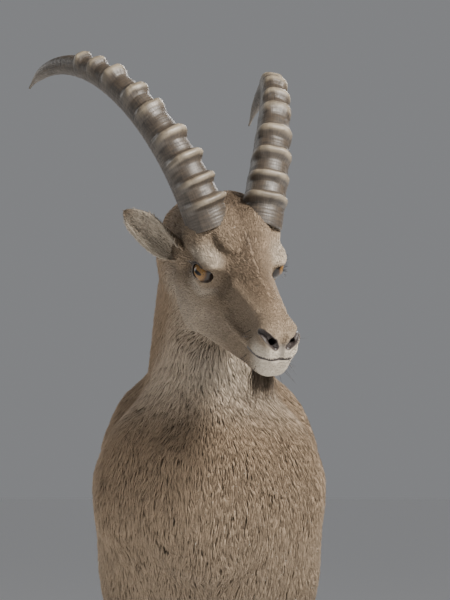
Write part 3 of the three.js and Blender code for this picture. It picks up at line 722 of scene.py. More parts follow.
def newMesh(name, points, faces):
    mesh = bpy.data.meshes.new(name)
    mesh.from_pydata(toFrame(points).tolist(), [], [tuple(int(i) for i in f) for f in faces])
    mesh.polygons.foreach_set("use_smooth", [True] * len(mesh.polygons))
    mesh.update()
    return mesh


def triangleMesh(name, points, triangles):
    mesh = bpy.data.meshes.new(name)
    mesh.vertices.add(len(points))
    mesh.vertices.foreach_set("co", toFrame(points).astype(np.float32).ravel())
    mesh.loops.add(triangles.size)
    mesh.loops.foreach_set("vertex_index", triangles.ravel().astype(np.int32))
    mesh.polygons.add(len(triangles))
    mesh.polygons.foreach_set("loop_start", np.arange(0, triangles.size, 3, dtype=np.int32))
    mesh.polygons.foreach_set("use_smooth", np.ones(len(triangles), bool))
    mesh.update(calc_edges=True)
    return mesh


def addPiece(name, mesh, material, replaced=()):
    piece = inScene(name, mesh)
    if material:
        mesh.materials.clear()
        mesh.materials.append(material)
    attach(piece, "root")
    if replaced:
        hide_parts(*replaced)
    return piece


# Rings of equal counts of points, joined to a closed skin with a fan over each end
def ringFaces(rings, around):
    faces = []
    for i in range(rings - 1):
        for j in range(around):
            k = (j + 1) % around
            faces.append((i * around + j, i * around + k, (i + 1) * around + k, (i + 1) * around + j))
    return faces


def closedTube(rings):
    count, around = len(rings), len(rings[0])
    points = np.vstack(list(rings) + [rings[0].mean(0)[None], rings[-1].mean(0)[None]])
    faces = ringFaces(count, around)
    first, last = count * around, count * around + 1
    base = (count - 1) * around
    for j in range(around):
        k = (j + 1) % around
        faces.append((k, j, first))
        faces.append((base + j, base + k, last))
    return points, faces


# Rings of a ball of radius 1, from one pole to the other
def ballRings(levels, around):
    polar = np.linspace(0, np.pi, levels + 2)[1:-1, None]
    turn = np.linspace(0, 2 * np.pi, around, endpoint=False)
    return np.stack([
        np.sin(polar) * np.cos(turn), np.sin(polar) * np.sin(turn),
        np.repeat(np.cos(polar), around, axis=1),
    ], axis=-1)


def facingOut(mesh):
    work = bmesh.new()
    work.from_mesh(mesh)
    bmesh.ops.recalc_face_normals(work, faces=work.faces)
    work.to_mesh(mesh)
    work.free()


# Colour masks of the coat: dark legs, flank line and crown, pale belly, rump and lips, warm nape; the
# furrow between the brows and the ring round each eye carry painted shade
marks = {
    "legDark": (500, 330), "flankLine": 505, "flankWidth": 34, "bellyTop": 500,
    "rumpAt": (-545, 0, 740), "rumpReach": 95, "spineWidth": 30,
}


def coatMarks(p):
    x, ay, z = onLeft(p).T
    m = mirroredHead(p)
    hx, hy, hz = m.T
    overNeck = toNeck(p)[:, 2]
    eyeFar = eyeDistance(m)
    onHead = smooth(hx, -50, 10) * smooth(hz, -135, -95)
    onBody = 1 - onHead
    legDark = smooth(z, *marks["legDark"]) * onBody * (0.9 - smooth(z, 150, 480) * 0.25)
    line = np.exp(-(((z - marks["flankLine"]) / marks["flankWidth"]) ** 2))
    line = line * smooth(x, -360, -250) * smooth(x, 330, 200) * smooth(ay, 70, 120)
    spine = np.exp(-((ay / marks["spineWidth"]) ** 2)) * smooth(z, 820, 870)
    chest = smooth(x, 300, 420) * smooth(z, 640, 520) * 0.5
    crown = onHead * np.exp(-((hy / 26) ** 2)) * smooth(hz, 30, 60) * 0.45
    # Painted shade: a dark stripe along the furrow between the brows
    browFurrowShade = onHead * np.exp(-((hy / 9) ** 2) - ((hx - 108) / 24) ** 2) * 0.65
    # Painted shade: the coat round each eye is darkened as if lying in the socket's shadow
    eyeSocketShade = np.exp(-((eyeFar / 25) ** 2)) * 0.35
    chin = onHead * smooth(hz, -40, -62) * smooth(hx, 150, 200) * 0.6
    dark = np.maximum.reduce([
        legDark, line * 0.8, spine * 0.55 * onBody, chest, crown, browFurrowShade, eyeSocketShade, chin,
    ])
    belly = smooth(z, marks["bellyTop"], 452) * smooth(ay, 95, 55) * onBody
    belly = belly * smooth(x, 160, 60) * smooth(x, -420, -330)
    rump = np.exp(-((np.linalg.norm(p - marks["rumpAt"], axis=1) / marks["rumpReach"]) ** 2))
    lips = onHead * smooth(hx, 215, 245) * smooth(hz, 5, -16) * 0.75
    cheek = onHead * smooth(hz, 10, -40) * smooth(hx, 190, 60) * 0.25
    aboveEye = smooth(np.abs(hz - eyeCentre[2]), 12, 24)
    overEye = np.exp(-(((eyeFar - 31) / 7) ** 2)) * aboveEye * 0.36 * onHead
    throat = smooth(overNeck, -20, -60) * smooth(z, 760, 860) * onBody * 0.3
    pale = np.clip(np.maximum.reduce([belly, rump * 0.9, lips, cheek, overEye, throat]), 0, 1)
    warm = np.clip(
        0.7 * smooth(overNeck, 20, 90) * smooth(z, 850, 980) * onBody
        + 0.55 * onHead * np.exp(-((hy / 34) ** 2)) * smooth(hz, 10, 50)
        + 0.35 * onBody * smooth(z, 560, 760), 0, 1,
    )
    return np.column_stack([dark, pale, warm, bareMask(m, eyeFar)])


# Bare skin: the lids' edges, the nostrils, the lips' line and the skin between the nostrils
def bareMask(m, eyeFar):
    bare = np.zeros(len(m))
    close = eyeFar < 40
    if close.any():
        q = inEye(m[close])
        bare[close] = smooth(almondDistance(q[:, :2]), 4.2, 2.2) * (q[:, 2] > 5)
    nose = (m[:, 0] > 205) & (m[:, 2] > -34) & (m[:, 2] < 26)
    if nose.any():
        x, y, z = m[nose].T
        between = smooth(x, 252, 257) * smooth(y, 6.5, 3) * smooth(z, -24, -18) * smooth(z, 4, -3)
        bare[nose] = np.maximum.reduce([
            bare[nose], smooth(nostrilHole(m[nose]), 3.4, 0.8), smooth(mouthGap(m[nose]), 2.6, 0.6),
            between * 0.6,
        ])
    return bare


headPlaces = toHead(pointsOf(mesh))
onTheHead = (headPlaces[:, 0] > -30) & (headPlaces[:, 2] > -150)
thin = decimated(mesh, skinMesh["bodyShare"], onTheHead)
skinPoints = pointsOf(thin)
setPoints(thin, toFrame(skinPoints))
thin.name = "skin"
thin.polygons.foreach_set("use_smooth", [True] * len(thin.polygons))
setAttribute(thin, "coatMarks", "FLOAT_COLOR", coatMarks(skinPoints))
setAttribute(thin, "strand", "FLOAT_VECTOR", np.tile((0.2, 0.5, 0.0), (len(skinPoints), 1)))
thin.calc_loop_triangles()
print("skin thinned,", len(thin.loop_triangles), "triangles")


# Nodes: each helper adds a node to a tree, found through the sockets it is given

def isSocket(value):
    return isinstance(value, bpy.types.NodeSocket)


# Gives a node's inputs their values, or the outputs of other nodes
def feed(node, inputs):
    for key, value in inputs.items():
        if isSocket(value):
            node.id_data.links.new(value, node.inputs[key])
        else:
            node.inputs[key].default_value = value


def addNode(tree, kind, inputs=None, **settings):
    node = tree.nodes.new(kind)
    for key, value in settings.items():
        setattr(node, key, value)
    feed(node, inputs or {})
    return node


def calculate(operation, *values):
    tree = next(value.id_data for value in values if isSocket(value))
    return addNode(tree, "ShaderNodeMath", dict(enumerate(values)), operation=operation).outputs[0]


def plus(a, b):
    return calculate("ADD", a, b)


def minus(a, b):
    return calculate("SUBTRACT", a, b)


def times(a, b):
    return calculate("MULTIPLY", a, b)


def ramp(value, low, high, toLow=0.0, toHigh=1.0, kind="SMOOTHSTEP"):
    inputs = {"Value": value, "From Min": low, "From Max": high, "To Min": toLow, "To Max": toHigh}
    return addNode(
        value.id_data, "ShaderNodeMapRange", inputs, interpolation_type=kind
    ).outputs["Result"]


def mixed(a, b, share):
    inputs = {"Factor": share, "A": a, "B": b}
    return addNode(share.id_data, "ShaderNodeMix", inputs, data_type="RGBA").outputs["Result"]


def noise(place, scale, detail=2.0, roughness=0.5):
    inputs = {"Vector": place, "Scale": scale, "Detail": detail, "Roughness": roughness}
    return addNode(place.id_data, "ShaderNodeTexNoise", inputs).outputs["Fac"]


def stretched(place, scale):
    inputs = {"Vector": place, "Scale": scale}
    return addNode(place.id_data, "ShaderNodeMapping", inputs).outputs["Vector"]


def partsOf(vector):
    return addNode(vector.id_data, "ShaderNodeSeparateXYZ", {"Vector": vector}).outputs


def scaled(vector, amount):
    inputs = {0: vector, "Scale": amount}
    return addNode(
        vector.id_data, "ShaderNodeVectorMath", inputs, operation="SCALE"
    ).outputs["Vector"]


def bumped(height, strength, distance):
    inputs = {"Height": height, "Strength": strength, "Distance": distance}
    return addNode(height.id_data, "ShaderNodeBump", inputs).outputs["Normal"]


def attribute(tree, name, output="Fac"):
    return addNode(tree, "ShaderNodeAttribute", attribute_name=name).outputs[output]


def objectPlace(tree):
    return addNode(tree, "ShaderNodeTexCoord").outputs["Object"]


def newMaterial(name):
    material = bpy.data.materials.new(name)
    material.use_nodes = True
    return material, material.node_tree, material.node_tree.nodes["Principled BSDF"]


# Materials

coatColours = {
    "Base": (0.218, 0.167, 0.117, 1), "Dark": (0.042, 0.031, 0.023, 1),
    "Pale": (0.60, 0.54, 0.45, 1), "Warm": (0.190, 0.126, 0.077, 1),
    "Bare": (0.03, 0.024, 0.022, 1),
}


# Colour of skin and hair from the marks that both carry, with soft blotches and lighter tips
def makeCoatTone():
    tree = bpy.data.node_groups.new("coatTone", "ShaderNodeTree")
    for name in coatColours:
        tree.interface.new_socket(name, in_out="INPUT", socket_type="NodeSocketColor")
    for name in ("Root shade", "Tip shade", "Variation"):
        tree.interface.new_socket(name, in_out="INPUT", socket_type="NodeSocketFloat")
    tree.interface.new_socket("Color", in_out="OUTPUT", socket_type="NodeSocketColor")
    tree.interface.new_socket("Bare mask", in_out="OUTPUT", socket_type="NodeSocketFloat")
    given = addNode(tree, "NodeGroupInput").outputs
    carried = addNode(tree, "ShaderNodeAttribute", attribute_name="coatMarks").outputs
    masks = addNode(tree, "ShaderNodeSeparateColor", {"Color": carried["Color"]}).outputs
    strand = partsOf(attribute(tree, "strand", "Vector"))
    place = objectPlace(tree)
    colour = mixed(given["Base"], given["Warm"], masks["Blue"])
    colour = mixed(colour, given["Dark"], masks["Red"])
    colour = mixed(colour, given["Pale"], masks["Green"])
    blotches = plus(times(noise(place, 9.0, 4.0, 0.6), 0.6), times(noise(place, 260.0), 0.4))
    wander = minus(plus(blotches, times(minus(strand["Y"], 0.5), 0.9)), 0.5)
    shade = ramp(strand["X"], 0.0, 1.0, given["Root shade"], given["Tip shade"], "LINEAR")
    colour = scaled(colour, times(shade, plus(1.0, times(wander, given["Variation"]))))
    feed(addNode(tree, "NodeGroupOutput"), {
        "Color": mixed(colour, given["Bare"], carried["Alpha"]), "Bare mask": carried["Alpha"],
    })
    return tree


coatTone = makeCoatTone()


def coatMaterial(name, rootShade, tipShade, variation, bump):
    material, tree, shader = newMaterial(name)
    shades = {"Root shade": rootShade, "Tip shade": tipShade, "Variation": variation}
    tone = addNode(tree, "ShaderNodeGroup", node_tree=coatTone)
    feed(tone, {**coatColours, **shades})
    feed(shader, {
        "Base Color": tone.outputs["Color"], "Specular IOR Level": 0.25,
        "Roughness": ramp(tone.outputs["Bare mask"], 0.0, 1.0, 0.82, 0.42, "LINEAR"),
    })
    if bump:
        feed(shader, {"Normal": bumped(noise(objectPlace(tree), 420.0, 3.0), bump, 0.0015)})
    return material


skinMaterial = coatMaterial("skinUnderCoat", rootShade=0.78, tipShade=1.0, variation=0.5, bump=0.5)
furMaterial = coatMaterial("coatHair", rootShade=0.66, tipShade=1.14, variation=0.6, bump=0)

replacedFlesh = ["torso", "neck", "head"] + ["leg_" + foot["name"] for foot in feet]
addPiece("skin", thin, skinMaterial, replacedFlesh)
print("skin ready")

# Coat: closed spindles of six faces, rooted in the skin, that lie along the way the hair grows
hair = {
    "muzzle": 4.2, "cheek": 8.5, "poll": 15, "foot": 7, "shank": 11, "neck": 27, "body": 25,
    "lift": 0.24, "flatLift": 0.16, "wideBase": 0.42, "widePerLength": 0.062, "thickness": 0.35,
    "clumpShare": 0.13, "pull": 0.2, "drift": 0.3, "scatter": 0.13, "turnSeed": 3, "lockSeed": 4,
}
perTuft = 5
bakeEdge = 0.002
coatPieces = [
    {"name": "coat_face_right", "zone": "face", "side": -1, "tufts": 28500, "seed": 11},
    {"name": "coat_face_left", "zone": "face", "side": 1, "tufts": 28500, "seed": 12},
    {"name": "coat_neck_right", "zone": "neck", "side": -1, "tufts": 30500, "seed": 13},
    {"name": "coat_neck_left", "zone": "neck", "side": 1, "tufts": 30500, "seed": 14},
    {"name": "coat_chest", "zone": "chest", "side": 0, "tufts": 31000, "seed": 15},
    {"name": "coat_flank_right", "zone": "flank", "side": -1, "tufts": 27000, "seed": 16},
    {"name": "coat_flank_left", "zone": "flank", "side": 1, "tufts": 27000, "seed": 17},
    {"name": "coat_legs_fore", "zone": "foreLegs", "side": 0, "tufts": 12000, "seed": 18},
    {"name": "coat_legs_hind", "zone": "hindLegs", "side": 0, "tufts": 14500, "seed": 19},
]


def lerp(a, b, t):
    return a + (b - a) * t


# Sum of slow waves in fixed directions, about -1 to 1
def waves(p, size, seed):
    rng = np.random.default_rng(seed)
    ways = unit(rng.normal(size=(6, 3))) * 2 * np.pi / (size * rng.uniform(0.7, 1.5, (6, 1)))
    return np.sin(p @ ways.T + rng.uniform(0, 6.28, 6)).sum(1) / 3.2


def headShare(p):
    h = toHead(p)
    return smooth(h[:, 0], -60, 15) * smooth(h[:, 2], -140, -92)


def hairLength(p):
    m = mirroredHead(p)
    face = lerp(hair["muzzle"], hair["cheek"], smooth(m[:, 0], 225, 120))
    face = lerp(face, hair["poll"], smooth(m[:, 0], 55, -45))
    face = face * (0.42 + 0.58 * smooth(eyeDistance(m), 20, 44))
    leg = lerp(hair["foot"], hair["shank"], smooth(p[:, 2], 120, 420))
    body = lerp(hair["body"], hair["neck"], smooth(toNeck(p)[:, 0], 0, 120))
    body = lerp(leg, body, smooth(p[:, 2], 400, 540))
    return lerp(body, face, headShare(p))


# The way the hair lies: back over the face, down the neck and chest, back and down the flanks
def hairWay(p, normals):
    m = mirroredHead(p)
    side = np.sign(toHead(p)[:, 1])[:, None]
    low = smooth(m[:, 2], 30, -60)[:, None]
    out = smooth(m[:, 2], 20, 60)[:, None] * smooth(m[:, 0], 60, 130)[:, None]
    face = np.array([-1.0, 0, 0]) + low * (0.25, 0, -0.55) + out * side * (0, 0.35, 0)
    around = m - eyeCentre
    ring = np.exp(-((np.linalg.norm(around, axis=1) / 34) ** 2))[:, None]
    around[:, 1] *= side[:, 0]
    face = unit(face + ring * 0.8 * unit(around)) @ headTurn.T
    run = toNeck(p)
    angle = arcStart - run[:, 0] / arcRadius
    neckWay = np.column_stack([-np.sin(angle), np.zeros(len(p)), np.cos(angle)])
    neckWay = unit(neckWay + (0, 0, -0.45))
    down = np.array([-0.15, 0, -1.0])
    flank = np.column_stack([
        -np.ones(len(p)), np.zeros(len(p)), -0.18 - 0.75 * smooth(p[:, 2], 860, 700),
    ])
    trunkWay = lerp(flank, down, smooth(p[:, 0], 130, 300)[:, None])
    body = lerp(trunkWay, down, smooth(p[:, 2], 560, 430)[:, None])
    body = lerp(body, neckWay, smooth(run[:, 0], -30, 70)[:, None])
    way = lerp(body, face, headShare(p)[:, None])
    turn = hair["drift"] * (waves(p, 70, hair["turnSeed"]) * 0.6 + waves(p, 17, hair["lockSeed"]) * 0.6)
    way = unit(way - (way * normals).sum(1, keepdims=True) * normals)
    return way * np.cos(turn)[:, None] + np.cross(normals, way) * np.sin(turn)[:, None]


def onSurface(tree, points):
    found = [tree.find_nearest(Vector(p))[:2] for p in points]
    return np.array([f[0] for f in found]), np.array([f[1] for f in found])


# Each tuft's tip leans toward the tip of the nearest leading tuft
def clumped(roots, tips, share, pull):
    leaders = np.arange(0, len(roots), max(1, round(1 / share)))
    tree = KDTree(len(leaders))
    for index in leaders.tolist():
        tree.insert(roots[index], index)
    tree.balance()
    nearest = np.array([tree.find(root)[1] for root in roots])
    return tips + (tips[nearest] - tips) * pull


def tuftMesh(name, tree, roots, normals, ways, shape, marksAt, place, seed, clump=None):
    rng = np.random.default_rng(seed)
    count = len(roots)
    length, lift, wide = shape
    vary = rng.uniform(0.72, 1.22, count)
    turn = rng.normal(0, hair["scatter"], count)[:, None]
    ways = ways * np.cos(turn) + np.cross(normals, ways) * np.sin(turn)
    length, lift = length * vary, lift * rng.uniform(0.45, 1.15, count)
    middle, middleNormal = onSurface(tree, roots + ways * (length * 0.45)[:, None])
    tip, tipNormal = onSurface(tree, middle + unit(middle - roots) * (length * 0.55)[:, None])
    middle = middle + middleNormal * (lift * 0.55)[:, None]
    tip = tip + tipNormal * lift[:, None]
    if clump:
        tip = clumped(roots, tip, clump, hair["pull"])
    root = roots - normals * np.minimum(1.0, lift * 0.5)[:, None]
    forward = unit(tip - root)
    side = unit(np.cross(middleNormal, forward)) * (wide * 0.5)[:, None]
    top = unit(np.cross(forward, side)) * (wide * hair["thickness"])[:, None]
    points = np.stack([root, middle + side, middle + top, middle - side, tip], axis=1)
    ring = np.array([[2, 1, 0], [3, 2, 0], [1, 3, 0], [1, 2, 4], [2, 3, 4], [3, 1, 4]])
    triangles = (np.arange(count)[:, None, None] * perTuft + ring).reshape(-1, 3)
    mesh = triangleMesh(name, points.reshape(-1, 3), triangles)
    setAttribute(mesh, "coatMarks", "FLOAT_COLOR", np.repeat(marksAt, perTuft, axis=0))
    strand = np.zeros((count, perTuft, 3))
    strand[:, :, 0] = (0, 0.5, 0.5, 0.5, 1)
    strand[:, :, 1] = rng.uniform(0, 1, count)[:, None]
    setAttribute(mesh, "strand", "FLOAT_VECTOR", strand)
    patch = np.array([(0, -1.5), (1.5, 0), (0, 0.3), (-1.5, 0), (0, 1.5)]) / 1000
    corners = place[triangles // perTuft] + patch[triangles % perTuft]
    layer = mesh.uv_layers.new(name="OFBake")
    layer.data.foreach_set("uv", corners.astype(np.float32).ravel())
    return mesh


# Place on a map of the skin rolled out around the head, neck, trunk or leg
def rolledOut(p, zone, side):
    if zone == "face":
        h = toHead(p)
        around, run = np.arctan2(side * h[:, 1], h[:, 2] - 5) / np.pi, (h[:, 0] + 60) / 330
    elif zone == "neck":
        n = toNeck(p)
        around, run = np.arctan2(side * p[:, 1], n[:, 2]) / np.pi, n[:, 0] / 420
    elif zone in ("chest", "flank"):
        around = np.arctan2(p[:, 1], p[:, 2] - 660) / (2 * np.pi)
        around = around + 0.5 if zone == "chest" else np.abs(around) * 2
        run = (p[:, 0] + 560) / 1020 if zone == "flank" else (p[:, 0] - 120) / 320
    else:
        ankle = -470 if zone == "hindLegs" else 200
        turn = np.arctan2(np.abs(p[:, 1]) - 86, p[:, 0] - ankle) / (2 * np.pi) + 0.5
        around, run = turn / 2 + 0.5 * (p[:, 1] > 0), p[:, 2] / 470
    return np.clip(np.column_stack([around, run]), bakeEdge, 1 - bakeEdge)


def zoneOf(p):
    h, run = toHead(p), toNeck(p)[:, 0]
    zone = np.where(p[:, 0] > 150, "chest", "flank").astype(object)
    zone[run > 25] = "neck"
    zone[(p[:, 2] < 440) & (p[:, 0] > -100)] = "foreLegs"
    zone[(p[:, 2] < 440) & (p[:, 0] <= -100)] = "hindLegs"
    zone[(h[:, 0] > -42) & (h[:, 2] > -104)] = "face"
    return zone


def underHorn(p):
    h = toHead(p)
    covered = np.zeros(len(p), bool)
    for label, side in bothSides:
        place, way, front, outer, _ = hornPath(side, hornCurves[label])
        step = hornCurves[label]["length"] / horn["rings"]
        at = np.clip((h - place[0]) @ way[0] / step, 0, 60).astype(int)
        off = h - place[at]
        deep = (off * front[at]).sum(1) / (horn["deep"] * 0.46)
        wide = (off * outer[at]).sum(1) / (horn["wide"] * 0.46)
        rise = (off * way[at]).sum(1)
        covered |= (deep ** 2 + wide ** 2 < 1) & (rise > 4) & (rise < 45)
    return covered


# Where no hair grows: between the lids, in the nostrils and mouth, under horns and hooves
def hairless(p, marksAt):
    m = mirroredHead(p)
    none = (marksAt[:, 3] > 0.3) | (p[:, 2] < 36)
    onFace = m[:, 0] > -60
    none[onFace] |= lidOpening(m[onFace]) < 1.5
    none[onFace] |= nostrilHole(m[onFace]) < 1.6
    none[onFace] |= (mouthGap(m[onFace]) < 1.6) & (m[onFace, 0] > 180)
    return none | underHorn(p)


# Values inside triangles, from the values at their three corners
def within(corners, u, v):
    return corners[:, 0] + (corners[:, 1] - corners[:, 0]) * u + (corners[:, 2] - corners[:, 0]) * v


# Random triangles, more often where the share is larger, and a place within each
def scattered(rng, share, count):
    chosen = rng.choice(len(share), count, p=share / share.sum())
    u, v = rng.uniform(size=(2, count, 1))
    fold = u + v > 1
    return chosen, np.where(fold, 1 - u, u), np.where(fold, 1 - v, v)


def crossOf(corners):
    return np.cross(corners[:, 1] - corners[:, 0], corners[:, 2] - corners[:, 0])


def growCoat(mesh, points):
    triangles = np.array([t.vertices for t in mesh.loop_triangles])
    corners = points[triangles]
    middle, cross = corners.mean(1), crossOf(corners)
    zones, inHead = zoneOf(middle), toHead(middle)
    density = 1 + 1.4 * headShare(middle) * smooth(inHead[:, 0], 90, 200)
    density = density * np.linalg.norm(cross, axis=1)
    tree = BVHTree.FromPolygons(points.tolist(), triangles.tolist())
    for part in coatPieces:
        here = zones == part["zone"]
        if part["side"]:
            across = inHead[:, 1] if part["zone"] == "face" else middle[:, 1]
            here &= np.sign(across) == part["side"]
        rng = np.random.default_rng(part["seed"])
        chosen, u, v = scattered(rng, np.where(here, density, 0), part["tufts"])
        roots, normals = within(corners[chosen], u, v), unit(cross[chosen])
        marksAt = coatMarks(roots)
        grows = ~hairless(roots, marksAt)
        roots, normals, marksAt = roots[grows], normals[grows], marksAt[grows]
        length = hairLength(roots)
        lift = length * lerp(hair["flatLift"], hair["lift"], smooth(length, 10, 22))
        shape = (length, lift, hair["wideBase"] + length * hair["widePerLength"])
        clump = hair["clumpShare"] if part["zone"] in ("neck", "chest", "flank") else None
        piece = tuftMesh(
            part["name"], tree, roots, normals, hairWay(roots, normals), shape, marksAt,
            rolledOut(roots, part["zone"], part["side"] or 1), part["seed"] + 40, clump,
        )
        addPiece(part["name"], piece, furMaterial)
    print("coat grown over the skin")
    return tree


skinTree = growCoat(thin, skinPoints)

# Node trees that grow a piece from a plain base mesh

def newTree(name, sockets):
    tree = bpy.data.node_groups.new(name, "GeometryNodeTree")
    tree.interface.new_socket("Geometry", in_out="INPUT", socket_type="NodeSocketGeometry")
    for socketName, kind in sockets.items():
        tree.interface.new_socket(socketName, in_out="INPUT", socket_type="NodeSocket" + kind)
    tree.interface.new_socket("Geometry", in_out="OUTPUT", socket_type="NodeSocketGeometry")
    return tree, addNode(tree, "NodeGroupInput")


def readAttribute(tree, name, kind):
    node = addNode(tree, "GeometryNodeInputNamedAttribute", {"Name": name}, data_type=kind)
    return node.outputs["Attribute"]


def endTree(tree, start, geometry):
    realize = addNode(tree, "GeometryNodeRealizeInstances", {"Geometry": geometry})
    painted = addNode(tree, "GeometryNodeSetMaterial", {
        "Geometry": realize.outputs["Geometry"], "Material": start.outputs["Material"],
    })
    feed(addNode(tree, "NodeGroupOutput"), {"Geometry": painted.outputs["Geometry"]})
    return tree


def grown(mesh, tree, values):
    piece = inScene("base", mesh)
    modifier = piece.modifiers.new("growth", "NODES")
    modifier.node_group = tree
    for item in tree.interface.items_tree:
        if item.in_out == "INPUT" and item.name in values:
            modifier[item.identifier] = values[item.name]
    result = evaluatedMesh(piece)
    piece.modifiers.remove(modifier)
    bpy.data.objects.remove(piece)
    return result


# Horn meshes: the tube without its knobs and growth rings, which the tree below adds
# The pale colour serves for worn horn at the tip and as painted highlight on the knob crests
hornColours = {
    "Deep": (0.013, 0.0095, 0.007, 1), "Plain": (0.062, 0.047, 0.033, 1), "WornAndHighlit": (0.2, 0.165, 0.118, 1),
}


def hornMesh(name, side, curve):
    place, _, front, outer, u = hornPath(side, curve)
    tip = 1 - 0.6 * smooth(u, 0.9, 1)
    deep = horn["deep"] / 2 * lerp(1, 0.12, u ** 1.2) * tip
    wide = horn["wide"] / 2 * lerp(1, 0.12, u ** 1.02) * tip
    angle = 2 * np.pi * (np.arange(horn["around"]) + 0.5) / horn["around"]
    c, s = np.cos(angle), np.sin(angle)
    x = np.sign(c) * np.abs(c) ** 0.8 * deep[:, None]
    y = s * np.where(c > 0, 1, 1 + 0.38 * c) * wide[:, None]
    points = place[:, None] + front[:, None] * x[..., None] + outer[:, None] * y[..., None]
    points, faces = closedTube(fromHead(points))
    mesh = newMesh(name, points, faces)
    swell = 0.25 * smooth(c, -0.5, 0.1) + 0.75 * smooth(c, 0.05, 0.55)
    ways = (
        front[:, None] * (swell * np.clip(1.4 * c, 0.25, 1))[None, :, None]
        + outer[:, None] * (swell * np.sign(s) * 0.4)[None, :, None]
    ) @ headTurn.T / 1000
    ends = np.zeros((2, 3))
    setAttribute(mesh, "swellWay", "FLOAT_VECTOR", np.vstack([ways.reshape(-1, 3), ends]))
    run = np.repeat(u, horn["around"])
    setAttribute(mesh, "run", "FLOAT", np.append(run, (0, 1)))
    crests = np.array(horn["crests"])
    crests = np.concatenate([[2 * crests[0] - crests[1]], crests, [2 * crests[-1] - crests[-2]]])
    amongKnobs = np.interp(np.append(run, (0, 1)), crests, np.arange(len(crests)) - 1)
    setAttribute(mesh, "amongKnobs", "FLOAT", amongKnobs)
    length = curve["length"]
    grain = np.column_stack([np.tile(c, len(u)) * 30, np.tile(s, len(u)) * 30, run * length])
    setAttribute(mesh, "hornPlace", "FLOAT_VECTOR", np.vstack([grain, [(0, 0, 0), (0, 0, length)]]))
    setAttribute(mesh, "facing", "FLOAT", np.append(np.tile((c + 1) / 2, len(u)), (0.5, 0.5)))
    return mesh


def makeHornGrowth():
    sizes = ("Knobs", "Knob height", "Growth rings", "Ring depth", "Unevenness")
    tree, start = newTree("hornGrowth", {**{name: "Float" for name in sizes}, "Material": "Material"})
    size = start.outputs
    run = readAttribute(tree, "run", "FLOAT")
    place = readAttribute(tree, "hornPlace", "FLOAT_VECTOR")
    wobble = noise(place, 0.035)
    shifted = plus(plus(readAttribute(tree, "amongKnobs", "FLOAT"), 0.5), times(minus(wobble, 0.5), 0.2))
    phase = calculate("FRACT", shifted)
    knobbed = calculate("GREATER_THAN", shifted, 0.0)
    knobbed = times(knobbed, calculate("LESS_THAN", shifted, size["Knobs"]))
    knob = times(times(ramp(phase, 0.16, 0.47), ramp(phase, 0.53, 0.77, 1.0, 0.0)), knobbed)
    differ = addNode(
        tree, "ShaderNodeTexWhiteNoise", {"W": calculate("FLOOR", shifted)}, noise_dimensions="1D"
    ).outputs["Value"]
    height = times(size["Knob height"], ramp(differ, 0.0, 1.0, 0.8, 1.08, "LINEAR"))
    height = times(height, ramp(run, 0.0, 1.0, 1.0, 0.45, "LINEAR"))
    turns = plus(times(times(run, size["Growth rings"]), math.tau), times(wobble, 9.0))
    rings = times(calculate("SINE", turns), size["Ring depth"])
    rings = times(rings, ramp(run, 0.98, 0.8, 0.0, 1.0))
    bumps = times(minus(noise(place, 0.11, 3.0), 0.5), size["Unevenness"])
    bumps = times(bumps, ramp(run, 1.0, 0.85, 0.2, 1.0))
    swelled = scaled(readAttribute(tree, "swellWay", "FLOAT_VECTOR"), times(knob, height))
    normal = addNode(tree, "GeometryNodeInputNormal").outputs["Normal"]
    ringed = scaled(normal, times(plus(rings, bumps), 0.001))
    offset = addNode(tree, "ShaderNodeVectorMath", {0: swelled, 1: ringed}).outputs["Vector"]
    moved = addNode(tree, "GeometryNodeSetPosition", {"Geometry": size["Geometry"], "Offset": offset})
    stored = addNode(tree, "GeometryNodeStoreNamedAttribute", {
        "Geometry": moved.outputs["Geometry"], "Name": "knob", "Value": knob,
    }, data_type="FLOAT")
    return endTree(tree, start, stored.outputs["Geometry"])


def makeHornMaterial():
    material, tree, shader = newMaterial("hornSheath")
    place = attribute(tree, "hornPlace", "Vector")
    knob, facing, run = (attribute(tree, name) for name in ("knob", "facing", "run"))
    fibre = noise(stretched(place, (1, 1, 0.09)), 0.55, 5.0, 0.65)
    ringed = noise(stretched(place, (0.12, 0.12, 1)), 0.32, 4.0, 0.6)
    grain = plus(times(fibre, 0.55), times(ringed, 0.45))
    plain = mixed(hornColours["Deep"], hornColours["Plain"], ramp(grain, 0.38, 0.66, kind="LINEAR"))
    # Knob crests on the front face turn pale: partly worn horn, partly a painted highlight where light
    # falls on the knobs; the paler tip is wear
    crest = times(ramp(knob, 0.45, 1.0), ramp(facing, 0.55, 0.95))
    crest = times(crest, ramp(noise(place, 0.05, 3.0), 0.3, 0.6, 0.35, 1.0))
    wearAndHighlight = calculate("MAXIMUM", times(crest, 0.8), ramp(run, 0.8, 1.0, 0.0, 0.25))
    feed(shader, {
        "Base Color": mixed(plain, hornColours["WornAndHighlit"], wearAndHighlight),
        "Roughness": ramp(grain, 0.3, 0.7, 0.62, 0.4), "Normal": bumped(grain, 0.6, 0.0012),
    })
    return material


hornMaterial = makeHornMaterial()
hornGrowth = makeHornGrowth()
for label, side in bothSides:
    base = hornMesh("horn", side, hornCurves[label])
    facingOut(base)
    sizes = {key: value for key, value in horn.items() if key[0].isupper()}
    sizes["Knobs"] = float(len(horn["crests"]))
    grownHorn = grown(base, hornGrowth, {**sizes, "Material": hornMaterial})
    addPiece("hornSheath_" + label, grownHorn, None, ["horn_" + label])
print("horns grown")

# Eyes: a ball with an amber iris and a level slit pupil under a clear wet surface
eyeColours = {
    "Iris": (0.185, 0.102, 0.032, 1), "Iris edge": (0.04, 0.019, 0.008, 1),
    "Pupil": (0.002, 0.002, 0.003, 1), "White": (0.012, 0.008, 0.006, 1),
}


def eyeMesh(name, side):
    points, faces = closedTube(ballRings(48, 64))
    points = unit(points)
    bulge = 1 + 0.035 * smooth(points[:, 2], 0.72, 0.98)[:, None]
    placed = points * bulge * eye["radius"] @ eyeAxes(side).T + onSide(eye["centre"], side)
    mesh = newMesh(name, fromHead(placed), faces)
    setAttribute(mesh, "look", "FLOAT_VECTOR", points)
    facingOut(mesh)
    return mesh


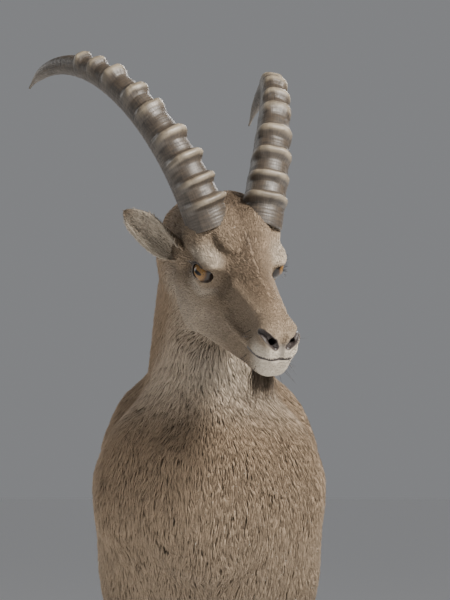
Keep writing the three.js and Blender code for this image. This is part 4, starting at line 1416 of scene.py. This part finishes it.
def makeEyeMaterial():
    material, tree, shader = newMaterial("eyeball")
    look = partsOf(attribute(tree, "look", "Vector"))
    x, y, z = look["X"], look["Y"], look["Z"]

    def power(value, size, exponent):
        return calculate("POWER", calculate("DIVIDE", calculate("ABSOLUTE", value), size), exponent)

    slit = plus(power(x, eye["pupilWide"], 3.0), power(y, eye["pupilHigh"], 2.2))
    pupil = ramp(slit, 0.8, 1.12, 1.0, 0.0)
    rim = eye["irisRadius"]
    radius = calculate("SQRT", plus(power(x, 1.0, 2.0), power(y, 1.0, 2.0)))
    outside = calculate("MAXIMUM", ramp(radius, rim - 0.03, rim + 0.04), ramp(z, 0.0, 0.1, 1.0, 0.0))
    around = addNode(tree, "ShaderNodeCombineXYZ", {
        "X": times(calculate("ARCTAN2", y, x), 4.0), "Y": times(radius, 1.5),
    }).outputs["Vector"]
    streaks = ramp(noise(around, 3.0, 6.0, 0.7), 0.3, 0.75, 0.0, 0.75)
    edge = calculate("MAXIMUM", streaks, ramp(radius, rim - 0.26, rim))
    iris = mixed(eyeColours["Iris"], eyeColours["Iris edge"], edge)
    feed(shader, {
        "Base Color": mixed(mixed(iris, eyeColours["White"], outside), eyeColours["Pupil"], pupil),
        "Roughness": 0.4, "Specular IOR Level": 0.08, "Coat Weight": 0.5, "Coat Roughness": 0.02,
        "Coat IOR": 1.38,
    })
    return material


eyeMaterial = makeEyeMaterial()
for label, side in bothSides:
    addPiece("eyeball_" + label, eyeMesh("eyeball", side), eyeMaterial, ["eye_" + label])
print("eyes set")

# Ears: a curled leaf, haired short outside and longer and paler inside
ear = {
    "foot": (20, 60, 28), "length": 102, "width": 38, "thickness": 3.4, "rings": 56, "half": 20,
    "right": {"way": (-0.31, 0.82, 0.48), "facing": (0.86, 0.42, -0.12)},
    "left": {"way": (-0.72, 0.6, 0.36), "facing": (0.5, 0.8, -0.1)},
    "tufts": 7000, "innerTufts": 3200, "hair": 6.0, "innerHair": 10,
}


def earAxes(side):
    held = ear["left" if side > 0 else "right"]
    way = unit(onSide(held["way"], side))
    facing = onSide(held["facing"], side)
    facing = unit(facing - (facing @ way) * way)
    return way, facing, np.cross(way, facing)


# Share of the ear's length and distance across it, from its foot
def alongEar(points, side):
    way, _, across = earAxes(side)
    off = toHead(points) - onSide(ear["foot"], side)
    return off @ way / ear["length"], off @ across


def earMesh(name, side):
    way, facing, across = earAxes(side)
    foot = onSide(ear["foot"], side)
    half = ear["half"]
    spread = np.linspace(-0.5, 0.5, half + 1)
    rings, inner, around = [], [], []
    for u in np.linspace(-0.12, 1, ear["rings"]):
        t = min(max(u, 0), 1)
        wide = ear["width"] / 2 * (0.52 + 1.25 * t ** 0.7) * (1 - t ** 2.6) ** 0.75 + 1.2
        wrap = math.radians(lerp(245, 105, float(smooth(np.float64(t), 0, 0.75))))
        radius = wide / math.sin(min(wrap / 2, math.pi / 2))
        thick = min(ear["thickness"], wide * 0.7) * (0.6 if t > 0.9 else 1)
        centre = foot + way * u * ear["length"] + facing * (radius * 0.55 - 10 * t * t)
        angle = wrap * spread[:, None]
        fold = 0.8 * np.cos(spread * 26) * (1 - abs(2 * t - 1)) * (1 - (2 * spread) ** 2)
        edge = thick * (1 - 0.45 * (2 * spread) ** 4)
        outside = centre - facing * np.cos(angle) * radius + across * np.sin(angle) * radius
        depth = (radius - edge + fold)[:, None]
        inside = centre - facing * np.cos(angle) * depth + across * np.sin(angle) * depth
        rings.append(np.vstack([outside, inside[::-1]]))
        inner.append(np.repeat([0.0, 1.0], half + 1))
        around.append(np.concatenate([spread, spread[::-1]]) + 0.5)
    points, faces = closedTube(fromHead(np.array(rings)))
    mesh = newMesh(name, points, faces)
    facingOut(mesh)
    inner = np.append(np.concatenate(inner), (0.5, 0.5))
    return mesh, points, inner, np.append(np.concatenate(around), (0.5, 0.5))


def earMarks(points, inside, side):
    run, _ = alongEar(points, side)
    values = coatMarks(points)
    values[:, 3] = 0
    values[:, 0] = np.maximum(values[:, 0] * 0.5, 0.55 * smooth(run, 0.78, 1.0))
    values[:, 1] = np.maximum(0.6 * inside * (1 - smooth(run, 0.8, 1)), values[:, 1] * 0.3)
    return values


def growEar(label, side):
    mesh, points, inside, around = earMesh("ear", side)
    setAttribute(mesh, "coatMarks", "FLOAT_COLOR", earMarks(points, inside * 0.8, side))
    setAttribute(mesh, "strand", "FLOAT_VECTOR", np.tile((0.2, 0.5, 0.0), (len(points), 1)))
    mesh.calc_loop_triangles()
    triangles = np.array([t.vertices for t in mesh.loop_triangles])
    addPiece("earSkin_" + label, mesh, skinMaterial, ["ear_" + label])
    tree = BVHTree.FromPolygons(points.tolist(), triangles.tolist())
    corners = points[triangles]
    cross = crossOf(corners)
    run, off = alongEar(corners.mean(1), side)
    way, facing, _ = (v @ headTurn.T for v in earAxes(side))
    for name, hidden, count, long in (
        ("coat_ear_", False, ear["tufts"], ear["hair"]),
        ("coat_earInner_", True, ear["innerTufts"], ear["innerHair"]),
    ):
        rng = np.random.default_rng(60 + side + 5 * hidden)
        share = np.linalg.norm(cross, axis=1) * ((inside[triangles].mean(1) > 0.5) == hidden)
        if hidden:
            share = share * (0.15 + smooth(np.abs(off), 8, 20)) * (run > 0.08)
        chosen, u, v = scattered(rng, share, count)
        roots, normals = within(corners[chosen], u, v), unit(cross[chosen])
        lay = way + (facing * 0.5 if hidden else 0)
        lay = unit(lay - (normals @ lay)[:, None] * normals)
        length = np.full(count, float(long)) * lerp(1, 0.7, smooth(run[chosen], 0.7, 1))
        shape = (length, length * (0.5 if hidden else 0.2), 0.45 + 0.03 * length)
        turned = within(around[triangles[chosen]][..., None], u, v)
        place = np.clip(np.column_stack([run[chosen], turned]), bakeEdge, 1 - bakeEdge)
        piece = tuftMesh(
            name + label, tree, roots, normals, lay, shape, earMarks(roots, 0.8 * hidden, side),
            place, 70 + side,
        )
        addPiece(name + label, piece, furMaterial)


for label, side in bothSides:
    growEar(label, side)
print("ears grown")

# Hooves: two claws to a foot, and two small dewclaws behind the pastern
hoof = {
    "stations": [
        (0, -37, 38, 27), (0.16, -38, 37.5, 28.5), (0.55, -36, 26, 27.5), (1, -32, 12, 25),
    ],
    "high": 42, "forward": 8, "levels": 22, "outline": 44,
    "dewclaw": {"back": 33, "out": 13, "height": 84, "radii": (13, 9.5, 15)},
}
hoofColours = {"Deep": (0.018, 0.014, 0.012, 1), "Pale": (0.085, 0.066, 0.05, 1)}


def clawMesh(name, ankle, side):
    heel, toe, wide = (along(hoof["stations"], column) for column in (1, 2, 3))
    angle = np.linspace(0, np.pi, hoof["outline"])
    rings = []
    for t in np.linspace(0, 1, hoof["levels"]):
        at = np.array([t])
        middle, half = (heel(at) + toe(at)) / 2, (toe(at) - heel(at)) / 2
        c, s = np.cos(angle), np.maximum(np.sin(angle), 0) ** 0.72
        ridge = 0.35 * np.sin(t * 40) * s
        px = middle + (half + ridge) * c
        py = 1.6 + (wide(at) + ridge) * s * (1 - 0.22 * np.maximum(c, 0) ** 2)
        inner = np.linspace(-0.8, 0.8, 12)
        px = np.append(px, middle + half * inner)
        py = np.append(py, np.full(12, 1.5) + 1.6 * (1 - inner ** 2) * t)
        high = hoof["high"] + 0.3 * (px - 12)
        rings.append(np.column_stack([
            ankle[0] + hoof["forward"] + px, ankle[1] + side * py, t * high,
        ]))
    points, faces = closedTube(np.array(rings))
    mesh = newMesh(name, points, faces)
    facingOut(mesh)
    return mesh


def dewclawMesh(name):
    small = hoof["dewclaw"]
    ball, ballFaces = closedTube(ballRings(10, 14))
    claw = unit(ball) * small["radii"]
    claw = claw + claw[:, 2:] * (0.35, 0, 0)
    points, faces = [], []
    for foot in feet:
        ankle = legPoints(foot)[-1]
        for side in (-1, 1):
            start = len(claw) * len(points)
            at = (ankle[0] - small["back"], ankle[1] + side * small["out"], small["height"])
            points.append(claw + at)
            faces += [tuple(index + start for index in face) for face in ballFaces]
    mesh = newMesh(name, np.vstack(points), faces)
    facingOut(mesh)
    return mesh


def makeHoofMaterial():
    material, tree, shader = newMaterial("hoofWall")
    place = objectPlace(tree)
    stain = noise(place, 45.0, 4.0)
    fibre = noise(stretched(place, (1, 1, 0.12)), 420.0, 3.0)
    share = plus(ramp(partsOf(place)["Z"], 0.03, 0.0, 0.0, 0.5), minus(stain, 0.42))
    feed(shader, {
        "Base Color": mixed(hoofColours["Deep"], hoofColours["Pale"], share),
        "Roughness": ramp(stain, 0.3, 0.7, 0.36, 0.6), "Normal": bumped(fibre, 0.35, 0.0008),
    })
    return material


hoofMaterial = makeHoofMaterial()
for foot in feet:
    ankle = legPoints(foot)[-1]
    for side in (-1, 1):
        which = foot["name"] + ("_outer" if side * foot["side"] > 0 else "_inner")
        addPiece("claw_" + which, clawMesh("claw", ankle, side), hoofMaterial, ["hoof_" + which])
addPiece("dewclaws", dewclawMesh("dewclaws"), hoofMaterial)
print("hooves made")

# Beard and tail: long tapering strands gathered into pointed locks
strandSteps = 6
perStrand = strandSteps * 3 + 1
beard = {
    "at": (206, 0, -52), "across": (12, 8), "way": (0.06, -0.03, -1), "droop": (0.1, -0.03, -1),
    "length": 52, "locks": 8, "strands": 44, "lockWidth": 9, "strandWide": 1.7, "seed": 21,
}
tail = {
    "root": (-505, 0, 812), "way": (-0.72, 0, -0.3), "droop": (-0.3, 0, -1), "locks": 11,
    "strands": 74, "lockWidth": 22, "strandWide": 2.6, "length": (85, 110), "spread": 6, "seed": 22,
}


def beardLocks(rng):
    centre = fromHead(np.array(beard["at"]))
    locks = []
    for k in range(beard["locks"]):
        angle = 2 * np.pi * k / beard["locks"]
        inner = 0.35 if k % 3 == 0 else 1
        offset = np.array([beard["across"][0] * math.cos(angle), beard["across"][1] * math.sin(angle), 0])
        way = unit(np.array(beard["way"]) + (0.1 * math.cos(angle), 0.12 * math.sin(angle), 0))
        locks.append({
            "root": centre + headTurn @ (offset * inner), "way": way, "droop": np.array(beard["droop"]),
            "length": beard["length"] * rng.uniform(0.5, 1.1) + 18, "width": beard["lockWidth"],
        })
    return locks


def tailLocks(rng):
    root, way, droop = (np.array(tail[key], float) for key in ("root", "way", "droop"))
    locks = []
    for k in range(tail["locks"]):
        down = k / (tail["locks"] - 1)
        spread = rng.uniform(-1, 1, 3) * tail["spread"] * (1, 2.2, 1)
        side = np.array([0, rng.uniform(-0.28, 0.28), 0])
        locks.append({
            "root": root + way * 50 * down + spread, "way": unit(way + side), "droop": unit(droop + side),
            "length": lerp(*tail["length"], rng.uniform()) * 0.92, "width": tail["lockWidth"],
        })
    return locks


# One strand: rings of three points along a bent line, closed to a point at its tip
def strandPoints(lock, wide, rng):
    angle, reach = rng.uniform(0, 2 * np.pi), math.sqrt(rng.uniform())
    offset = np.array([math.cos(angle), math.sin(angle), 0.4 * rng.normal()]) * reach
    offset = offset * lock["width"] / 2
    length = lock["length"] * rng.uniform(0.55, 1.0)
    place, centres = lock["root"] + offset, []
    wave = rng.uniform(-1, 1, 3) * 0.16
    bend = rng.uniform(-1, 1, 3) * 0.12
    for u in np.arange(strandSteps + 1) / strandSteps:
        way = unit(lerp(lock["way"], lock["droop"], u) + bend + wave * math.sin(6 * u))
        centres.append(place - offset * 0.75 * u ** 1.3)
        place = place + way * length / strandSteps
    centres = np.array(centres)
    forward = unit(centres[-1] - centres[0])
    side = unit(np.cross(forward, (0.3, 0.9, 0.1) + rng.uniform(-0.4, 0.4, 3)))
    flat = np.cross(forward, side) * 0.6
    u = np.linspace(0, 1, strandSteps + 1)[:-1]
    size = (wide * (1 - u) ** 0.7 * (0.75 + 0.5 * u) * 0.5 + 0.12)[:, None, None]
    section = np.array([[1, 0], [-0.5, 0.87], [-0.5, -0.87]]) @ np.array([side, flat])
    return np.vstack([(centres[:-1, None] + section * size).reshape(-1, 3), centres[-1:]])


# Strands of one lock start side by side and come together toward its point
def lockStrands(locks, perLock, wide, rng):
    last = perStrand - 1
    strandFaces = ringFaces(strandSteps, 3) + [
        (last - 3, last - 2, last), (last - 2, last - 1, last), (last - 1, last - 3, last), (2, 1, 0),
    ]
    run = np.append(np.repeat(np.linspace(0, 1, strandSteps + 1)[:-1], 3), 1)
    grownPoints, grownFaces, runs = [], [], []
    for lock in locks:
        for _ in range(perLock):
            start = perStrand * len(grownPoints)
            grownPoints.append(strandPoints(lock, wide, rng))
            grownFaces += [tuple(i + start for i in face) for face in strandFaces]
            shade = np.full(perStrand, rng.uniform())
            runs.append(np.column_stack([run, shade, np.zeros(perStrand)]))
    return np.vstack(grownPoints), grownFaces, np.vstack(runs)


def lockPiece(name, locks, perLock, wide, rng, dark, nodeName):
    points, faces, runs = lockStrands(locks, perLock, wide, rng)
    mesh = newMesh(name, points, faces)
    facingOut(mesh)
    setAttribute(mesh, "coatMarks", "FLOAT_COLOR", np.tile((dark, 0, 0, 0), (len(points), 1)))
    setAttribute(mesh, "strand", "FLOAT_VECTOR", runs)
    low, high = points.min(0), points.max(0)
    layer = mesh.uv_layers.new(name="OFBake")
    corner = np.array([loop.vertex_index for loop in mesh.loops])
    rootOf = np.repeat(points[::perStrand], perStrand, axis=0)[corner]
    spot = (points[corner] - rootOf)[:, :2]
    spot = 0.0015 * spot / np.maximum(np.abs(spot).max(), 1)
    flat = np.clip((rootOf - low) / (high - low), 0.003, 0.997)
    layer.data.foreach_set("uv", (flat[:, [0, 1]] + spot).astype(np.float32).ravel())
    addPiece(name, mesh, longHairMaterial, [nodeName])


longHairMaterial = coatMaterial("longHair", rootShade=0.75, tipShade=1.3, variation=0.9, bump=0)
rng = np.random.default_rng(beard["seed"])
lockPiece("coat_beard", beardLocks(rng), beard["strands"], beard["strandWide"], rng, 0.75, "beard")
rng = np.random.default_rng(tail["seed"])
lockPiece("coat_tail", tailLocks(rng), tail["strands"], tail["strandWide"], rng, 0.85, "tail")
print("beard and tail grown")

# Lashes on the lids and bristles on lips and chin, grown from their root points
lashes = {
    "upper": 34, "lower": 18, "length": 8.5, "bristles": 46, "bristleLength": 24,
    "Root radius": 0.28, "Colour": (0.012, 0.009, 0.008, 1), "seed": 31,
}


def makeBristles():
    tree, start = newTree("bristleRow", {"Root radius": "Float", "Material": "Material"})
    given = start.outputs
    cone = addNode(tree, "GeometryNodeMeshCone", {
        "Vertices": 5, "Side Segments": 4, "Depth": 1.0,
        "Radius Bottom": times(given["Root radius"], 0.001),
        "Radius Top": times(given["Root radius"], 0.0002),
    })
    point = addNode(tree, "GeometryNodeMeshToPoints", {"Mesh": given["Geometry"]})
    way, long = readAttribute(tree, "way", "FLOAT_VECTOR"), readAttribute(tree, "long", "FLOAT")
    turn = addNode(tree, "FunctionNodeAlignRotationToVector", {"Vector": way}, axis="Z")
    size = addNode(tree, "ShaderNodeCombineXYZ", {"X": 1.0, "Y": 1.0, "Z": long})
    placed = addNode(tree, "GeometryNodeInstanceOnPoints", {
        "Points": point.outputs["Points"], "Instance": cone.outputs["Mesh"],
        "Rotation": turn.outputs["Rotation"], "Scale": size.outputs["Vector"],
    })
    return endTree(tree, start, placed.outputs["Instances"])


def bristleRoots():
    rng = np.random.default_rng(lashes["seed"])
    roots, ways, long = [], [], []
    for _, side in bothSides:
        axes, centre = eyeAxes(side), onSide(eye["centre"], side)
        for outline, count, tilt, share in (
            (upperLid, lashes["upper"], 0.55, 1.0), (lowerLid, lashes["lower"], -0.8, 0.6),
        ):
            at = np.sort(rng.uniform(0.5, len(outline) - 2, count))
            low = np.floor(at).astype(int)
            flat = lerp(outline[low], outline[low + 1], (at - low)[:, None])
            deep = np.sqrt((lidRadius + 1) ** 2 - (flat ** 2).sum(1))
            roots.append(fromHead(np.column_stack([flat, deep]) @ axes.T + centre))
            out = unit(flat - almond.mean(0)) * 0.6
            lash = np.column_stack([out[:, 0], out[:, 1] * 0.3 + tilt * 0.6, np.full(count, 0.8)])
            ways.append(unit(lash + rng.normal(0, 0.1, lash.shape)) @ axes.T @ headTurn.T)
            long.append(lashes["length"] * share * rng.uniform(0.7, 1.1, count))
    count = lashes["bristles"]
    side = rng.choice((-1, 1), count)
    at = np.column_stack([rng.uniform(205, 244, count), side * rng.uniform(8, 24, count),
                          rng.choice((-8, -14, -44, -50), count) + rng.normal(0, 2.5, count)])
    spots = onSurface(skinTree, fromHead(at))
    roots.append(spots[0])
    ways.append(unit(spots[1] + np.array([0.1, 0, -0.5]) + rng.normal(0, 0.2, (count, 3))))
    long.append(lashes["bristleLength"] * rng.uniform(0.5, 1.1, count))
    return np.vstack(roots), np.vstack(ways), np.concatenate(long)


def makeLashMaterial():
    material, _, shader = newMaterial("lash")
    feed(shader, {"Base Color": lashes["Colour"], "Roughness": 0.5})
    return material


roots, ways, long = bristleRoots()
seeds = newMesh("lashRoots", roots, [])
setAttribute(seeds, "way", "FLOAT_VECTOR", ways)
setAttribute(seeds, "long", "FLOAT", long / 1000)
lashMaterial = makeLashMaterial()
bristles = grown(seeds, makeBristles(), {"Root radius": lashes["Root radius"], "Material": lashMaterial})
addPiece("lashes", bristles, None)
print("lashes and bristles grown")

# Camera, light and floor
camera = {
    "noseAt": (260, 0, 0), "elevation": -3.4, "distance": 4.5, "millimetresPerPixel": 1.38,
    "nosePixel": (283, 344), "imageWide": 450, "imageHigh": 600, "sensor": 36,
}
lights = {
    "key": {"at": (2.3, 1.95, 3.0), "size": 0.8, "power": 420, "colour": (1, 0.96, 0.9)},
    "fill": {"at": (2.4, -2.6, 1.5), "size": 2.4, "power": 12, "colour": (0.88, 0.93, 1)},
    "back": {"at": (-2.6, 1.4, 2.6), "size": 1.6, "power": 90, "colour": (1, 1, 1)},
    "side": {"at": (-1.6, -2.8, 2.2), "size": 2.0, "power": 40, "colour": (1, 0.98, 0.95)},
}
studio = {
    "aim": (0.25, 0.05, 0.85), "floorSize": 900, "floorColour": (0.96, 0.955, 0.95, 1),
    "air": (0.5, 0.51, 0.53, 1), "airPower": 0.45,
}


def addCamera():
    nose = Vector(toFrame(fromHead(camera["noseAt"])))
    elevation = math.radians(camera["elevation"])
    back = Vector((math.cos(elevation), 0, math.sin(elevation)))
    turn = (-back).to_track_quat("-Z", "Y")
    right, up = turn @ Vector((1, 0, 0)), turn @ Vector((0, 1, 0))
    scale = camera["millimetresPerPixel"] / 1000
    data = bpy.data.cameras.new("camera")
    data.sensor_width = camera["sensor"]
    data.lens = camera["sensor"] * camera["distance"] / scale / camera["imageHigh"]
    piece = inScene("camera", data)
    piece.location = (
        nose + back * camera["distance"]
        - right * (camera["nosePixel"][0] - camera["imageWide"] / 2) * scale
        - up * (camera["imageHigh"] / 2 - camera["nosePixel"][1]) * scale
    )
    piece.rotation_mode = "QUATERNION"
    piece.rotation_quaternion = turn
    bpy.context.scene.camera = piece


def addLight(name, at, size, power, colour):
    data = bpy.data.lights.new(name, "AREA")
    data.size = size
    data.energy = power
    data.color = colour
    piece = inScene(name, data)
    piece.location = at
    piece.rotation_mode = "QUATERNION"
    piece.rotation_quaternion = (Vector(studio["aim"]) - Vector(at)).to_track_quat("-Z", "Y")


def addFloor():
    half = studio["floorSize"] / 2
    mesh = bpy.data.meshes.new("floor")
    mesh.from_pydata(
        [(-half, -half, 0), (half, -half, 0), (half, half, 0), (-half, half, 0)], [], [(0, 1, 2, 3)]
    )
    material, _, shader = newMaterial("floor")
    feed(shader, {"Base Color": studio["floorColour"], "Roughness": 0.9})
    mesh.materials.append(material)
    inScene("floor", mesh)


addCamera()
for name, light in lights.items():
    addLight(name, **light)
addFloor()
world = bpy.data.worlds.new("studio")
world.use_nodes = True
feed(world.node_tree.nodes["Background"], {"Color": studio["air"], "Strength": studio["airPower"]})
bpy.context.scene.world = world
print("camera, light and floor ready")
